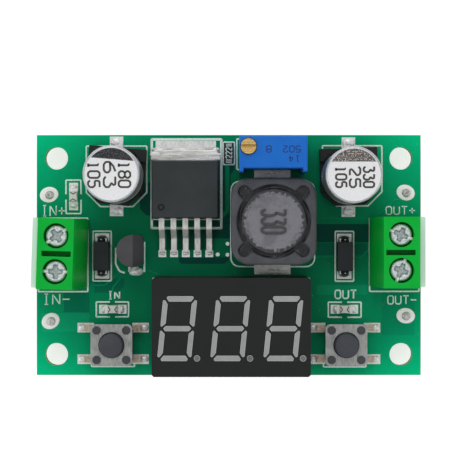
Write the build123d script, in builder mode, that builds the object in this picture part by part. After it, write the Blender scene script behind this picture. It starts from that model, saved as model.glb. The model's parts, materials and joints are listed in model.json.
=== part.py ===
"""Step-down converter module: a circuit board with screw terminals, two buttons, a trimmer and a
three-digit display.

All lengths are millimetres. The origin is the centre of the four mounting holes on the board's
underside, +X runs along the board from input to output, +Y towards the capacitors' edge and +Z up
through the components.
"""
from math import cos, hypot, radians, sin, tan
import os

from build123d import *

os.makedirs("parts", exist_ok=True)

# Small round details that repeat, such as drilled holes, are cut with this many sides
small_round_sides = 8

# Board
board_length = 56.0
board_width = 35.0
board_thickness = 1.6
board_centre_y = 0.18
hole_inset_x = 2.9
hole_inset_y = 3.2
hole_diameter = 3.3
pad_thickness = 0.05
via_diameter = 0.45
via_places = [(-0.17, 1.83), (-1.61, 0.27), (-0.18, 0.23)]
pin_drill_gap = 0.1
pin_protrusion = 1.4
wire_pad_size = (2.7, 2.25)
wire_pad_corner = 0.7
wire_pad_drill = 1.1
wire_pad_places = [(-26.2, 8.98), (25.8, 9.29), (-25.97, -9.43), (25.8, -8.66)]
solder_bump_radius = 0.85
solder_bump_crown = 0.45
solder_bump_height = 0.45
solder_cone_radius = 0.85
solder_cone_crown = 0.62
solder_cone_height = 0.7

# Can capacitors
capacitor_places = {"input": ((-16.36, 11.66), -4.8), "output": ((17.45, 11.55), 2.0)}
can_diameter = 8.0
can_height = 10.2
can_top_bevel = 0.5
can_groove_height = 1.2
can_groove_depth = 0.35
cap_base_side = 8.3
cap_base_thickness = 1.15
cap_base_chamfer = 2.0
cap_horn_height = 0.9
cap_horn_gap = 0.12
cap_lead_width = 1.1
cap_lead_thickness = 0.2
cap_lead_inner = 1.5
cap_lead_outer = 5.1
cap_pad_width = 1.97
cap_pad_length = 3.2
cap_pad_outer = 5.8

# Five-lead regulator on a metal tab
regulator_at = (-6.26, 9.68)
regulator_width = 9.8
regulator_depth = 8.5
regulator_height = 4.4
regulator_parting = 2.2
regulator_draft = 6.0
tab_thickness = 1.27
tab_width = 10.17
tab_reach = 1.5
tab_corner = 1.1
tab_neck_width = 8.4
tab_neck_depth = 7.6
regulator_dot_diameter = 1.3
regulator_dot_depth = 0.12
regulator_dot_inset = 1.15
lead_count = 5
lead_pitch = 1.71
lead_width = 0.8
lead_thickness = 0.45
lead_bend = 0.35
lead_reach = 4.75
lead_foot = 2.2
lead_shoulder = 1.3
lead_embed = 0.9
lead_exit_height = 2.35
lead_pad_size = (1.2, 2.9)
lead_pad_beyond = 0.85
tab_pad_size = (8.8, 9.6)
tab_pad_beyond = 2.9

# Shielded inductor
inductor_at = (6.36, 5.07)
shield_length = 12.1
shield_width = 12.3
shield_height = 7.6
shield_corner = 2.6
shield_bore = 10.5
shield_lobe_diameter = 2.4
shield_lobe_orbit = 5.0
drum_diameter = 9.1
drum_top_thickness = 1.1
drum_bottom_thickness = 1.1
drum_post_diameter = 4.6
drum_dish_depth = 0.15
drum_dish_diameter = 7.9
winding_diameter = 8.5
resin_depth = 1.0
resin_below_top = 0.25
strap_width = 5.1
strap_thickness = 0.2
strap_inner = 3.2
strap_beyond = 1.25
strap_rise = 1.6
strap_bend = 0.25
inductor_pad_size = (5.3, 3.4)
inductor_pad_beyond = 1.55

# Multi-turn trimmer
trimmer_at = (6.24, 14.5)
trimmer_length = 9.5
trimmer_depth = 5.0
trimmer_height = 10.0
trimmer_flange = 0.6
trimmer_recess = 0.5
trimmer_foot = 0.5
trimmer_edge = 0.15
trimmer_screw_diameter = 2.2
trimmer_screw_gap = 0.08
trimmer_screw_proud = 0.4
trimmer_screw_head = 1.5
trimmer_screw_stem = 1.3
trimmer_screw_length = 4.5
trimmer_screw_inset = (1.27, 1.5)
trimmer_slot_width = 0.45
trimmer_slot_depth = 0.45
trimmer_pin_pitch = 2.54
trimmer_pin_side = 0.5
trimmer_pin_embed = 1.5

# Chip resistors: one beside the trimmer, and a row on the underside for the display
chip_length = 2.0
chip_width = 1.2
chip_height = 0.55
chip_cap = 0.35
chip_pad_size = (1.3, 1.0)
chip_pad_reach = 1.5
resistor_at = (0.02, 15.02)
underside_resistor_count = 8
underside_resistor_pitch = 2.2
underside_resistor_row = 13.6

# Chip indicator lamps
lamp_places = [((-22.62, 8.72), 90.0), ((-16.9, -7.72), 0.0), ((16.87, -7.72), 0.0)]
lamp_length = 2.3
lamp_width = 1.25
lamp_base_height = 0.35
lamp_lens_length = 1.5
lamp_lens_height = 0.5
lamp_lens_draft = 12.0
lamp_end_length = 0.4
lamp_pad_size = (1.2, 1.3)
lamp_pad_reach = 2.0

# Block diodes
diode_places = {"input": (-18.47, 0.05), "output": (16.85, 0.0)}
diode_length = 4.3
diode_width = 2.4
diode_height = 2.1
diode_standoff = 0.1
diode_draft = 5.0
diode_lead_width = 1.5
diode_lead_thickness = 0.2
diode_lead_height = 1.15
diode_lead_reach = 0.45
diode_lead_foot = 1.3
diode_pad_size = (2.1, 2.0)
diode_pad_reach = 3.3

# Three-lead regulator with a D-shaped body
small_regulator_at = (-13.9, -0.1)
small_body_diameter = 4.6
small_body_flat = 1.15
small_body_length = 4.6
small_body_front_taper = 22.0
small_body_plain = 1.9
small_body_lift = 2.0
small_body_shift = (0.5, 0.95)
small_body_lean = 3.0
small_lead_pitch = 1.8
small_lead_side = 0.45
small_lead_straight = 0.5
small_lead_embed = 1.0
small_lead_pad_diameter = 1.5

# Tact switches
switch_places = {"left": (-16.85, -12.7), "right": (16.9, -12.7)}
switch_side = 6.0
switch_corner = 0.7
switch_base_corner = 0.6
switch_base_height = 3.1
switch_base_inset = 0.1
switch_cavity_diameter = 4.7
switch_cover_thickness = 0.3
switch_cover_hole = 3.75
switch_rivet_diameter = 1.17
switch_rivet_stem = 0.7
switch_rivet_height = 0.15
switch_rivet_offset = 2.12
switch_rivet_gap = 0.02
switch_travel = 0.25
button_diameter = 3.5
button_height = 4.3
button_flange_diameter = 4.3
button_flange_thickness = 0.5
button_edge = 0.2
button_top_gap = 0.05
dome_diameter = 4.0
dome_crown_diameter = 2.2
dome_thickness = 0.12
dome_gap = 0.05
dome_pressed_height = 0.3
switch_leg_width = 0.8
switch_leg_thickness = 0.2
switch_leg_spacing = 4.6
switch_leg_height = 0.9
switch_leg_reach = 1.75
switch_leg_foot = 0.9
switch_pad_size = (2.4, 1.4)
switch_pad_reach = 5.2

# Display
display_at = (0.35, -9.92)
display_length = 22.5
display_width = 14.0
display_height = 7.2
display_wall = 0.8
display_face = 1.4
display_corner = 0.3
display_fill_depth = 3.0
display_fill_recess = 0.6
display_pin_rows = 10.16
display_pin_pitch = 2.54
display_pin_count = 6
display_pin_size = (0.5, 0.25)
display_pin_embed = 1.2
digit_count = 3
digit_pitch = 7.49
digit_offset = (-0.13, -0.16)
digit_half_width = 2.0
digit_half_height = 4.24
digit_slant = 5.7
segment_width = 0.78
segment_half_length = 1.9
segment_gap = 0.3
segment_depth = 0.6
point_diameter = 1.0
point_offset = (2.79, -4.2)

# Screw terminals
terminal_places = {"left": ((-24.15, 0.52), 178.2), "right": ((24.1, 0.7), 0.0)}
terminal_length = 10.0
terminal_inner = 3.6
terminal_outer = 3.95
terminal_height = 10.0
terminal_lip_height = 5.0
terminal_front = 2.95
terminal_top_outer = 2.6
terminal_top_inner = 2.5
terminal_skirt_height = 1.6
terminal_pitch = 5.0
terminal_slot = (4.07, 0.72)
terminal_slot_depth = 2.3
terminal_slot_shift = -0.1
chamber_width = 3.9
chamber_inner = 2.55
chamber_outer = 1.75
cage_travel = 1.4
cage_roof_gap = 0.2
well_diameter = 3.5
well_floor = 7.9
neck_diameter = 2.7
entry_width = 2.7
entry_bottom = 1.7
clamp_screw_head_diameter = 3.25
clamp_screw_head_height = 1.35
clamp_screw_shank_diameter = 2.5
clamp_screw_tip_gap = 0.1
clamp_screw_slot_width = 0.55
clamp_screw_slot_depth = 0.6
clamp_screw_turn = {"left": {"lower": -2.0, "upper": 35.0}, "right": {"lower": 69.0, "upper": -22.0}}
clamp_screw_rest_gap = 0.05
cage_width = 3.6
cage_depth = 3.1
cage_height = 4.6
cage_wall = 0.5
cage_top = 1.3
cage_floor_gap = 0.9
cage_hole_gap = 0.06
contact_width = 2.3
contact_thickness = 0.5
contact_gap = 0.1
contact_outer = 1.4
contact_leg_place = 2.2
terminal_pin_width = 1.0

# Controller chip on the underside
controller_at = (0.35, -9.92)
controller_length = 6.5
controller_width = 4.4
controller_height = 1.0
controller_standoff = 0.1
controller_lead_count = 10
controller_lead_pitch = 0.65
controller_lead_width = 0.28
controller_lead_thickness = 0.15
controller_lead_reach = 1.0
controller_lead_foot = 0.5

# Heights that the sizes above set
board_top = board_thickness
pad_top = board_top + pad_thickness
pin_tip = -pin_protrusion


def seat(place, turn=0.0, height=pad_top):
    """Level plane at a component's centre, turned about the vertical."""
    return Plane(Location((place[0], place[1], height), (0, 0, turn)))


def hung(place, turn=0.0):
    """Plane on the pads of the underside, facing down, with X still along the board."""
    level = seat(place, turn, -pad_thickness)
    return Plane(level.origin, x_dir=level.x_dir, z_dir=-level.z_dir)


def section_along_x(base, shift=0.0):
    """Upright plane through a seat: its X is the seat's X and its Y points up."""
    return Plane(base.origin, x_dir=base.x_dir, z_dir=-base.y_dir).offset(-shift)


def section_along_y(base, shift=0.0):
    """Upright plane through a seat: its X is the seat's Y and its Y points up."""
    return Plane(base.origin, x_dir=base.y_dir, z_dir=base.x_dir).offset(shift)


def bent_strip(plane, points, bend, thickness, width):
    """Flat strip bent along points that run outwards along its lower face; a bend of 0 stays sharp."""
    with BuildSketch(plane) as profile:
        with BuildLine():
            if bend:
                FilletPolyline(*points, radius=bend)
            else:
                Polyline(*points)
            offset(amount=thickness, side=Side.LEFT, closed=True, kind=Kind.INTERSECTION)
        make_face()
    extrude(profile.sketch, amount=width / 2, both=True)


def square_pin(centre, size, start, length):
    """Upright pin of rectangular section whose lower end is at a height over the board's underside."""
    with BuildSketch(Plane((centre[0], centre[1], start))) as section:
        Rectangle(*size)
    extrude(section.sketch, amount=length)


def small_round(diameter, mode=Mode.ADD):
    """Many-sided outline that a circle of the diameter just fits in, with flats towards X and Y."""
    flats_square = 180 / small_round_sides
    RegularPolygon(diameter / 2, small_round_sides, major_radius=False, rotation=flats_square, mode=mode)


def write(builder, name):
    """Label one finished piece and write it as a STEP file."""
    builder.part.label = name
    export_step(builder.part, f"parts/{name}.step")
    return builder.part


def on_board(base, u, v):
    """Board coordinates of a point that is given in a seat's own X and Y."""
    point = base.from_local_coords((u, v, 0))
    return (point.X, point.Y)


# Places of the pins that go through the board, each with its round hole
terminal_seats = {side: seat(*spot, board_top) for side, spot in terminal_places.items()}
terminal_pin_spots = [
    on_board(base, -contact_leg_place, v)
    for base in terminal_seats.values()
    for v in (-terminal_pitch / 2, terminal_pitch / 2)
]
display_seat = seat(display_at, height=board_top)
display_pin_spots = [
    on_board(display_seat, (i - (display_pin_count - 1) / 2) * display_pin_pitch, row)
    for row in (-display_pin_rows / 2, display_pin_rows / 2)
    for i in range(display_pin_count)
]
trimmer_seat = seat(trimmer_at, height=board_top)
trimmer_pin_spots = [on_board(trimmer_seat, i * trimmer_pin_pitch, 0) for i in (-1, 0, 1)]
small_lead_spots = [
    (small_regulator_at[0], small_regulator_at[1] + i * small_lead_pitch) for i in (-1, 0, 1)
]
small_lead_diagonal = hypot(small_lead_side, small_lead_side)
pins_through = (
    [(spot, hypot(terminal_pin_width, contact_thickness)) for spot in terminal_pin_spots]
    + [(spot, hypot(*display_pin_size)) for spot in display_pin_spots]
    + [(spot, hypot(trimmer_pin_side, trimmer_pin_side)) for spot in trimmer_pin_spots]
    + [(spot, small_lead_diagonal) for spot in small_lead_spots]
)


# Circuit board: a plain rectangle with mounting holes, plated holes for pins and wires, and open vias
with BuildPart() as board:
    with BuildSketch(Plane((0, board_centre_y, 0))):
        Rectangle(board_length, board_width)
    extrude(amount=board_thickness)
    with BuildSketch():
        with GridLocations(board_length - 2 * hole_inset_x, board_width - 2 * hole_inset_y, 2, 2):
            Circle(hole_diameter / 2)
        with Locations(*via_places):
            small_round(via_diameter)
        with Locations(*wire_pad_places):
            small_round(wire_pad_drill)
        for spot, diameter in pins_through:
            with Locations(spot):
                small_round(diameter + 2 * pin_drill_gap)
    extrude(amount=board_thickness, mode=Mode.SUBTRACT)
write(board, "circuit_board")


def pad_pair(base, reach, size):
    """Two equal pads on a seat's Y axis, their outer ends at the same reach."""
    with BuildSketch(base) as outline:
        with GridLocations(0, 2 * reach - size[1], 1, 2):
            Rectangle(*size)
    extrude(outline.sketch, amount=pad_thickness)


def lead_place(index):
    """Distance of one of the regulator's leads from its middle lead."""
    return (index - (lead_count - 1) / 2) * lead_pitch


# Tinned copper pads on both faces of the board
with BuildPart() as pads:
    for place, turn in capacitor_places.values():
        pad_pair(seat(place, 0, board_top), cap_pad_outer, (cap_pad_width, cap_pad_length))
    with BuildSketch(seat(regulator_at, 0, board_top)):
        tab_pad_edge = regulator_depth / 2 + tab_pad_beyond
        with Locations((0, tab_pad_edge - tab_pad_size[1] / 2)):
            Rectangle(*tab_pad_size)
        lead_pad_edge = -regulator_depth / 2 - lead_reach - lead_pad_beyond
        with Locations(*[(lead_place(i), lead_pad_edge + lead_pad_size[1] / 2) for i in range(lead_count)]):
            Rectangle(*lead_pad_size)
    extrude(amount=pad_thickness)
    pad_pair(seat(inductor_at, 0, board_top), shield_width / 2 + inductor_pad_beyond, inductor_pad_size)
    pad_pair(seat(resistor_at, 0, board_top), chip_pad_reach, chip_pad_size)
    for place, turn in lamp_places:
        pad_pair(seat(place, turn - 90, board_top), lamp_pad_reach, (lamp_pad_size[1], lamp_pad_size[0]))
    for place in diode_places.values():
        pad_pair(seat(place, 0, board_top), diode_pad_reach, diode_pad_size)
    for place in switch_places.values():
        with BuildSketch(seat(place, 0, board_top)):
            with GridLocations(2 * switch_pad_reach - switch_pad_size[0], switch_leg_spacing, 2, 2):
                Rectangle(*switch_pad_size)
        extrude(amount=pad_thickness)
    with BuildSketch(seat(small_regulator_at, 0, board_top)):
        with GridLocations(0, small_lead_pitch, 1, 3):
            small_round(small_lead_pad_diameter)
            small_round(small_lead_diagonal + 2 * pin_drill_gap, Mode.SUBTRACT)
    extrude(amount=pad_thickness)
write(pads, "solder_pads")

# Solder that fills the four oval wire pads and their holes, with a bump over each
with BuildPart() as bumps:
    with BuildSketch():
        with Locations(*wire_pad_places):
            small_round(wire_pad_drill)
    extrude(amount=board_thickness)
    with BuildSketch(Plane.XY.offset(board_top)):
        with Locations(*wire_pad_places):
            outline = Rectangle(*wire_pad_size)
            chamfer(outline.vertices(), wire_pad_corner)
    extrude(amount=pad_thickness)
    with BuildSketch(Plane.XY.offset(pad_top)):
        with Locations(*wire_pad_places):
            small_round(2 * solder_bump_radius)
    extrude(amount=solder_bump_height)
    chamfer(bumps.edges().group_by(Axis.Z)[-1], solder_bump_radius - solder_bump_crown)
write(bumps, "wire_pad_solder")


# Can capacitors: a plastic base with two chamfered corners and four horns, a rolled can, flat leads
for side, (place, turn) in capacitor_places.items():
    cap_seat = seat(place, turn)
    with BuildPart() as cap_leads:
        with BuildSketch(cap_seat):
            with GridLocations(0, cap_lead_inner + cap_lead_outer, 1, 2):
                Rectangle(cap_lead_width, cap_lead_outer - cap_lead_inner)
        extrude(amount=cap_lead_thickness)
    with BuildPart() as cap_base:
        with BuildSketch(cap_seat):
            outline = Rectangle(cap_base_side, cap_base_side)
            chamfer(outline.vertices().group_by(Axis.Y)[0], cap_base_chamfer)
        extrude(amount=cap_base_thickness + cap_horn_height)
        with BuildSketch(cap_seat.offset(cap_base_thickness)):
            Circle(can_diameter / 2 + cap_horn_gap)
            Rectangle(cap_base_side, cap_base_side * 0.55)
            Rectangle(cap_base_side * 0.55, cap_base_side)
        extrude(amount=cap_horn_height, mode=Mode.SUBTRACT)
        add(cap_leads.part, mode=Mode.SUBTRACT)
    with BuildPart() as can:
        with BuildSketch(section_along_x(cap_seat)):
            radius = can_diameter / 2
            groove_bottom = cap_base_thickness + can_groove_height
            groove_top = groove_bottom + 2 * can_groove_depth
            with BuildLine():
                Polyline(
                    (0, cap_base_thickness),
                    (radius, cap_base_thickness),
                    (radius, groove_bottom),
                    (radius - can_groove_depth, (groove_top + groove_bottom) / 2),
                    (radius, groove_top),
                    (radius, can_height - can_top_bevel),
                    (radius - can_top_bevel, can_height),
                    (0, can_height),
                    close=True,
                )
            make_face()
        revolve(axis=Axis(cap_seat.origin, (0, 0, 1)))
    write(cap_base, f"{side}_capacitor_base")
    write(can, f"{side}_capacitor_can")
    write(cap_leads, f"{side}_capacitor_leads")

# Regulator: five gull-wing leads, a thick tab with clipped corners, a body with draft both ways
regulator_seat = seat(regulator_at)
lead_path = [
    (regulator_depth / 2 - lead_embed, lead_exit_height),
    (regulator_depth / 2 + lead_shoulder, lead_exit_height),
    (regulator_depth / 2 + lead_reach - lead_foot, 0),
    (regulator_depth / 2 + lead_reach, 0),
]
with BuildPart() as regulator_leads:
    for i in range(lead_count):
        lead_section = section_along_y(seat(regulator_at, 180), lead_place(i))
        bent_strip(lead_section, lead_path, lead_bend, lead_thickness, lead_width)
with BuildPart() as regulator_tab:
    with BuildSketch(regulator_seat):
        with Locations((0, regulator_depth / 2 + tab_reach / 2)):
            head = Rectangle(tab_width, tab_reach)
            chamfer(head.vertices().group_by(Axis.Y)[-1], tab_corner, tab_corner * 0.45)
        with Locations((0, regulator_depth / 2 - tab_neck_depth / 2)):
            Rectangle(tab_neck_width, tab_neck_depth)
    extrude(amount=tab_thickness)
with BuildPart() as regulator_body:
    with BuildSketch(regulator_seat.offset(regulator_parting)):
        Rectangle(regulator_width, regulator_depth)
    extrude(amount=regulator_height - regulator_parting, taper=regulator_draft)
    with BuildSketch(regulator_seat.offset(regulator_parting)):
        Rectangle(regulator_width, regulator_depth)
    extrude(amount=-regulator_parting, taper=regulator_draft)
    add(regulator_tab.part, mode=Mode.SUBTRACT)
    add(regulator_leads.part, mode=Mode.SUBTRACT)
    with BuildSketch(regulator_seat.offset(regulator_height)):
        dot_u = -regulator_width / 2 + regulator_dot_inset
        dot_v = -regulator_depth / 2 + regulator_dot_inset
        with Locations((dot_u + regulator_dot_diameter / 2, dot_v + regulator_dot_diameter / 2)):
            Circle(regulator_dot_diameter / 2)
    extrude(amount=-regulator_dot_depth, mode=Mode.SUBTRACT)
write(regulator_body, "regulator_body")
write(regulator_tab, "regulator_tab")
write(regulator_leads, "regulator_leads")

# Inductor: drum core and winding inside a square shield ring with a lobe towards each corner, a
# collar of resin between drum and ring, two solder straps
inductor_seat = seat(inductor_at)
drum_foot = strap_thickness
drum_top = shield_height - 0.1
strap_path = [
    (shield_width / 2 - strap_inner, 0),
    (shield_width / 2 + strap_beyond, 0),
    (shield_width / 2 + strap_beyond, strap_rise),
]
with BuildPart() as straps:
    for turn in (0, 180):
        strap_section = section_along_y(seat(inductor_at, turn))
        bent_strip(strap_section, strap_path, strap_bend, strap_thickness, strap_width)
with BuildPart() as drum:
    with BuildSketch(section_along_x(inductor_seat)):
        with BuildLine():
            Polyline(
                (0, drum_foot),
                (drum_diameter / 2, drum_foot),
                (drum_diameter / 2, drum_foot + drum_bottom_thickness),
                (drum_post_diameter / 2, drum_foot + drum_bottom_thickness),
                (drum_post_diameter / 2, drum_top - drum_top_thickness),
                (drum_diameter / 2, drum_top - drum_top_thickness),
                (drum_diameter / 2, drum_top),
                (drum_dish_diameter / 2, drum_top),
                (drum_dish_diameter / 2 - drum_dish_depth, drum_top - drum_dish_depth),
                (0, drum_top - drum_dish_depth),
                close=True,
            )
        make_face()
    revolve(axis=Axis(inductor_seat.origin, (0, 0, 1)))
winding_bottom = drum_foot + drum_bottom_thickness
winding_top = drum_top - drum_top_thickness
with BuildPart() as winding:
    with BuildSketch(inductor_seat.offset(winding_bottom)):
        Circle(winding_diameter / 2)
        Circle(drum_post_diameter / 2, mode=Mode.SUBTRACT)
    extrude(amount=winding_top - winding_bottom)
with BuildPart() as shield:
    with BuildSketch(inductor_seat.offset(strap_thickness)):
        RectangleRounded(shield_length, shield_width, shield_corner)
        Circle(shield_bore / 2, mode=Mode.SUBTRACT)
        with PolarLocations(shield_lobe_orbit, 4, 45):
            Circle(shield_lobe_diameter / 2, mode=Mode.SUBTRACT)
    extrude(amount=shield_height - strap_thickness)
with BuildPart() as resin:
    with BuildSketch(inductor_seat.offset(shield_height - resin_below_top)):
        Circle(shield_bore / 2)
        Circle(drum_diameter / 2, mode=Mode.SUBTRACT)
    extrude(amount=-resin_depth)
write(shield, "inductor_shield")
write(drum, "inductor_core")
write(winding, "inductor_winding")
write(resin, "inductor_resin")
write(straps, "inductor_straps")

# Trimmer: a tall block with two end flanges and feet, a slotted brass screw and three pins
screw_u = -trimmer_length / 2 + trimmer_screw_inset[0]
screw_v = trimmer_depth / 2 - trimmer_screw_inset[1]
trimmer_screw_spot = on_board(trimmer_seat, screw_u, screw_v)
screw_head_bottom = board_top + trimmer_height + trimmer_screw_proud - trimmer_screw_head
screw_plane = Plane((*trimmer_screw_spot, screw_head_bottom))
with BuildPart() as trimmer_pins:
    for spot in trimmer_pin_spots:
        pin_length = board_top + trimmer_pin_embed - pin_tip
        square_pin(spot, (trimmer_pin_side, trimmer_pin_side), pin_tip, pin_length)
with BuildPart() as trimmer:
    with BuildSketch(trimmer_seat):
        Rectangle(trimmer_length, trimmer_depth)
        with Locations((0, -trimmer_depth / 2)):
            Rectangle(trimmer_length - 2 * trimmer_flange, 2 * trimmer_recess, mode=Mode.SUBTRACT)
    extrude(amount=trimmer_height)
    chamfer(trimmer.edges().group_by(Axis.Z)[-1], trimmer_edge)
    with BuildSketch(trimmer_seat):
        Rectangle(trimmer_length - 2 * trimmer_flange, trimmer_depth)
    extrude(amount=trimmer_foot, mode=Mode.SUBTRACT)
    with BuildSketch(screw_plane):
        Circle(trimmer_screw_diameter / 2 + trimmer_screw_gap)
    extrude(amount=trimmer_screw_head, mode=Mode.SUBTRACT)
    with BuildSketch(screw_plane):
        Circle(trimmer_screw_stem / 2 + trimmer_screw_gap)
    extrude(amount=trimmer_screw_head - trimmer_screw_length - trimmer_screw_gap, mode=Mode.SUBTRACT)
    add(trimmer_pins.part, mode=Mode.SUBTRACT)
with BuildPart() as trimmer_screw:
    with BuildSketch(screw_plane):
        Circle(trimmer_screw_diameter / 2)
    extrude(amount=trimmer_screw_head)
    with BuildSketch(screw_plane.offset(trimmer_screw_head)):
        Rectangle(trimmer_screw_diameter + 1, trimmer_slot_width)
    extrude(amount=-trimmer_slot_depth, mode=Mode.SUBTRACT)
    with BuildSketch(screw_plane):
        Circle(trimmer_screw_stem / 2)
    extrude(amount=trimmer_screw_head - trimmer_screw_length)
write(trimmer, "trimmer_housing")
write(trimmer_screw, "trimmer_screw")
write(trimmer_pins, "trimmer_pins")


# Chip resistors: one on the top and a row on the underside, each a dark body between two end caps
underside_resistor_places = [
    (display_at[0] + (i - (underside_resistor_count - 1) / 2) * underside_resistor_pitch,
     controller_at[1] + underside_resistor_row)
    for i in range(underside_resistor_count)
]
resistor_seats = [seat(resistor_at)] + [hung(spot) for spot in underside_resistor_places]
with BuildPart() as resistor_bodies:
    for base in resistor_seats:
        with BuildSketch(base):
            Rectangle(chip_width, chip_length - 2 * chip_cap)
        extrude(amount=chip_height)
with BuildPart() as resistor_ends:
    for base in resistor_seats:
        with BuildSketch(base):
            with GridLocations(0, chip_length - chip_cap, 1, 2):
                Rectangle(chip_width, chip_cap)
        extrude(amount=chip_height)
write(resistor_bodies, "resistor_bodies")
write(resistor_ends, "resistor_ends")

# Chip lamps: a carrier with two metal ends and a clear lens block with sloping sides
lamp_seats = [seat(place, turn) for place, turn in lamp_places]
with BuildPart() as lamp_bases:
    for base in lamp_seats:
        with BuildSketch(base):
            Rectangle(lamp_length - 2 * lamp_end_length, lamp_width)
        extrude(amount=lamp_base_height)
with BuildPart() as lamp_ends:
    for base in lamp_seats:
        with BuildSketch(base):
            with GridLocations(lamp_length - lamp_end_length, 0, 2, 1):
                Rectangle(lamp_end_length, lamp_width)
        extrude(amount=lamp_base_height)
with BuildPart() as lamp_lenses:
    for base in lamp_seats:
        with BuildSketch(base.offset(lamp_base_height)):
            Rectangle(lamp_lens_length, lamp_width)
        extrude(amount=lamp_lens_height, taper=lamp_lens_draft)
write(lamp_bases, "lamp_bases")
write(lamp_ends, "lamp_ends")
write(lamp_lenses, "lamp_lenses")

# Block diodes: a moulded body with draft both ways and a lead folded down and under at each end
diode_lead_path = [
    (diode_length / 2 + diode_lead_reach - diode_lead_foot, 0),
    (diode_length / 2 + diode_lead_reach, 0),
    (diode_length / 2 + diode_lead_reach, diode_lead_height),
    (diode_length / 2 - diode_lead_reach, diode_lead_height),
]
for side, place in diode_places.items():
    diode_seat = seat(place)
    with BuildPart() as diode_leads:
        for turn in (0, 180):
            lead_section = section_along_y(seat(place, turn))
            bent_strip(lead_section, diode_lead_path, 0, diode_lead_thickness, diode_lead_width)
    with BuildPart() as diode:
        parting = diode_seat.offset(diode_lead_height - diode_lead_thickness)
        with BuildSketch(parting):
            Rectangle(diode_width, diode_length)
        extrude(amount=diode_height - diode_lead_height + diode_lead_thickness, taper=diode_draft)
        with BuildSketch(parting):
            Rectangle(diode_width, diode_length)
        extrude(amount=diode_lead_thickness + diode_standoff - diode_lead_height, taper=diode_draft)
        add(diode_leads.part, mode=Mode.SUBTRACT)
    write(diode, f"{side}_diode_body")
    write(diode_leads, f"{side}_diode_leads")

# Small regulator: a D-shaped body with a sloping front, leaning on three wire leads
body_foot = (
    small_regulator_at[0] + small_body_shift[0],
    small_regulator_at[1] + small_body_shift[1],
    board_top + small_body_lift,
)
lean = radians(small_body_lean)
body_up = (-sin(lean), 0, cos(lean))
body_plane = Plane(body_foot, x_dir=(cos(lean), 0, sin(lean)), z_dir=body_up)
with BuildPart() as small_leads:
    for x, y in small_lead_spots:
        knee = Vector(x, y, board_top + small_lead_straight)
        into = Vector(x, y, 0) - Vector(small_regulator_at[0], small_regulator_at[1], 0)
        entry = body_plane.from_local_coords(Vector(into.X, into.Y, 0))
        end = body_plane.from_local_coords(Vector(into.X, into.Y, small_lead_embed))
        with BuildLine() as route:
            Polyline((x, y, pin_tip), knee, entry, end)
        with BuildSketch(Plane((x, y, pin_tip))):
            Rectangle(small_lead_side, small_lead_side)
        sweep(path=route.line, transition=Transition.RIGHT)
with BuildPart() as small_body:
    with BuildSketch(body_plane):
        Circle(small_body_diameter / 2)
        with Locations((small_body_flat + small_body_diameter / 2, 0)):
            Rectangle(small_body_diameter, small_body_diameter, mode=Mode.SUBTRACT)
    extrude(amount=small_body_length)
    with BuildSketch(section_along_x(body_plane)):
        slope = (small_body_length - small_body_plain) * tan(radians(small_body_front_taper))
        with BuildLine():
            Polyline(
                (small_body_flat, small_body_plain),
                (small_body_flat - slope, small_body_length),
                (small_body_flat + slope, small_body_length),
                close=True,
            )
        make_face()
    extrude(amount=small_body_diameter, both=True, mode=Mode.SUBTRACT)
    add(small_leads.part, mode=Mode.SUBTRACT)
write(small_body, "small_regulator_body")
write(small_leads, "small_regulator_leads")

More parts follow.
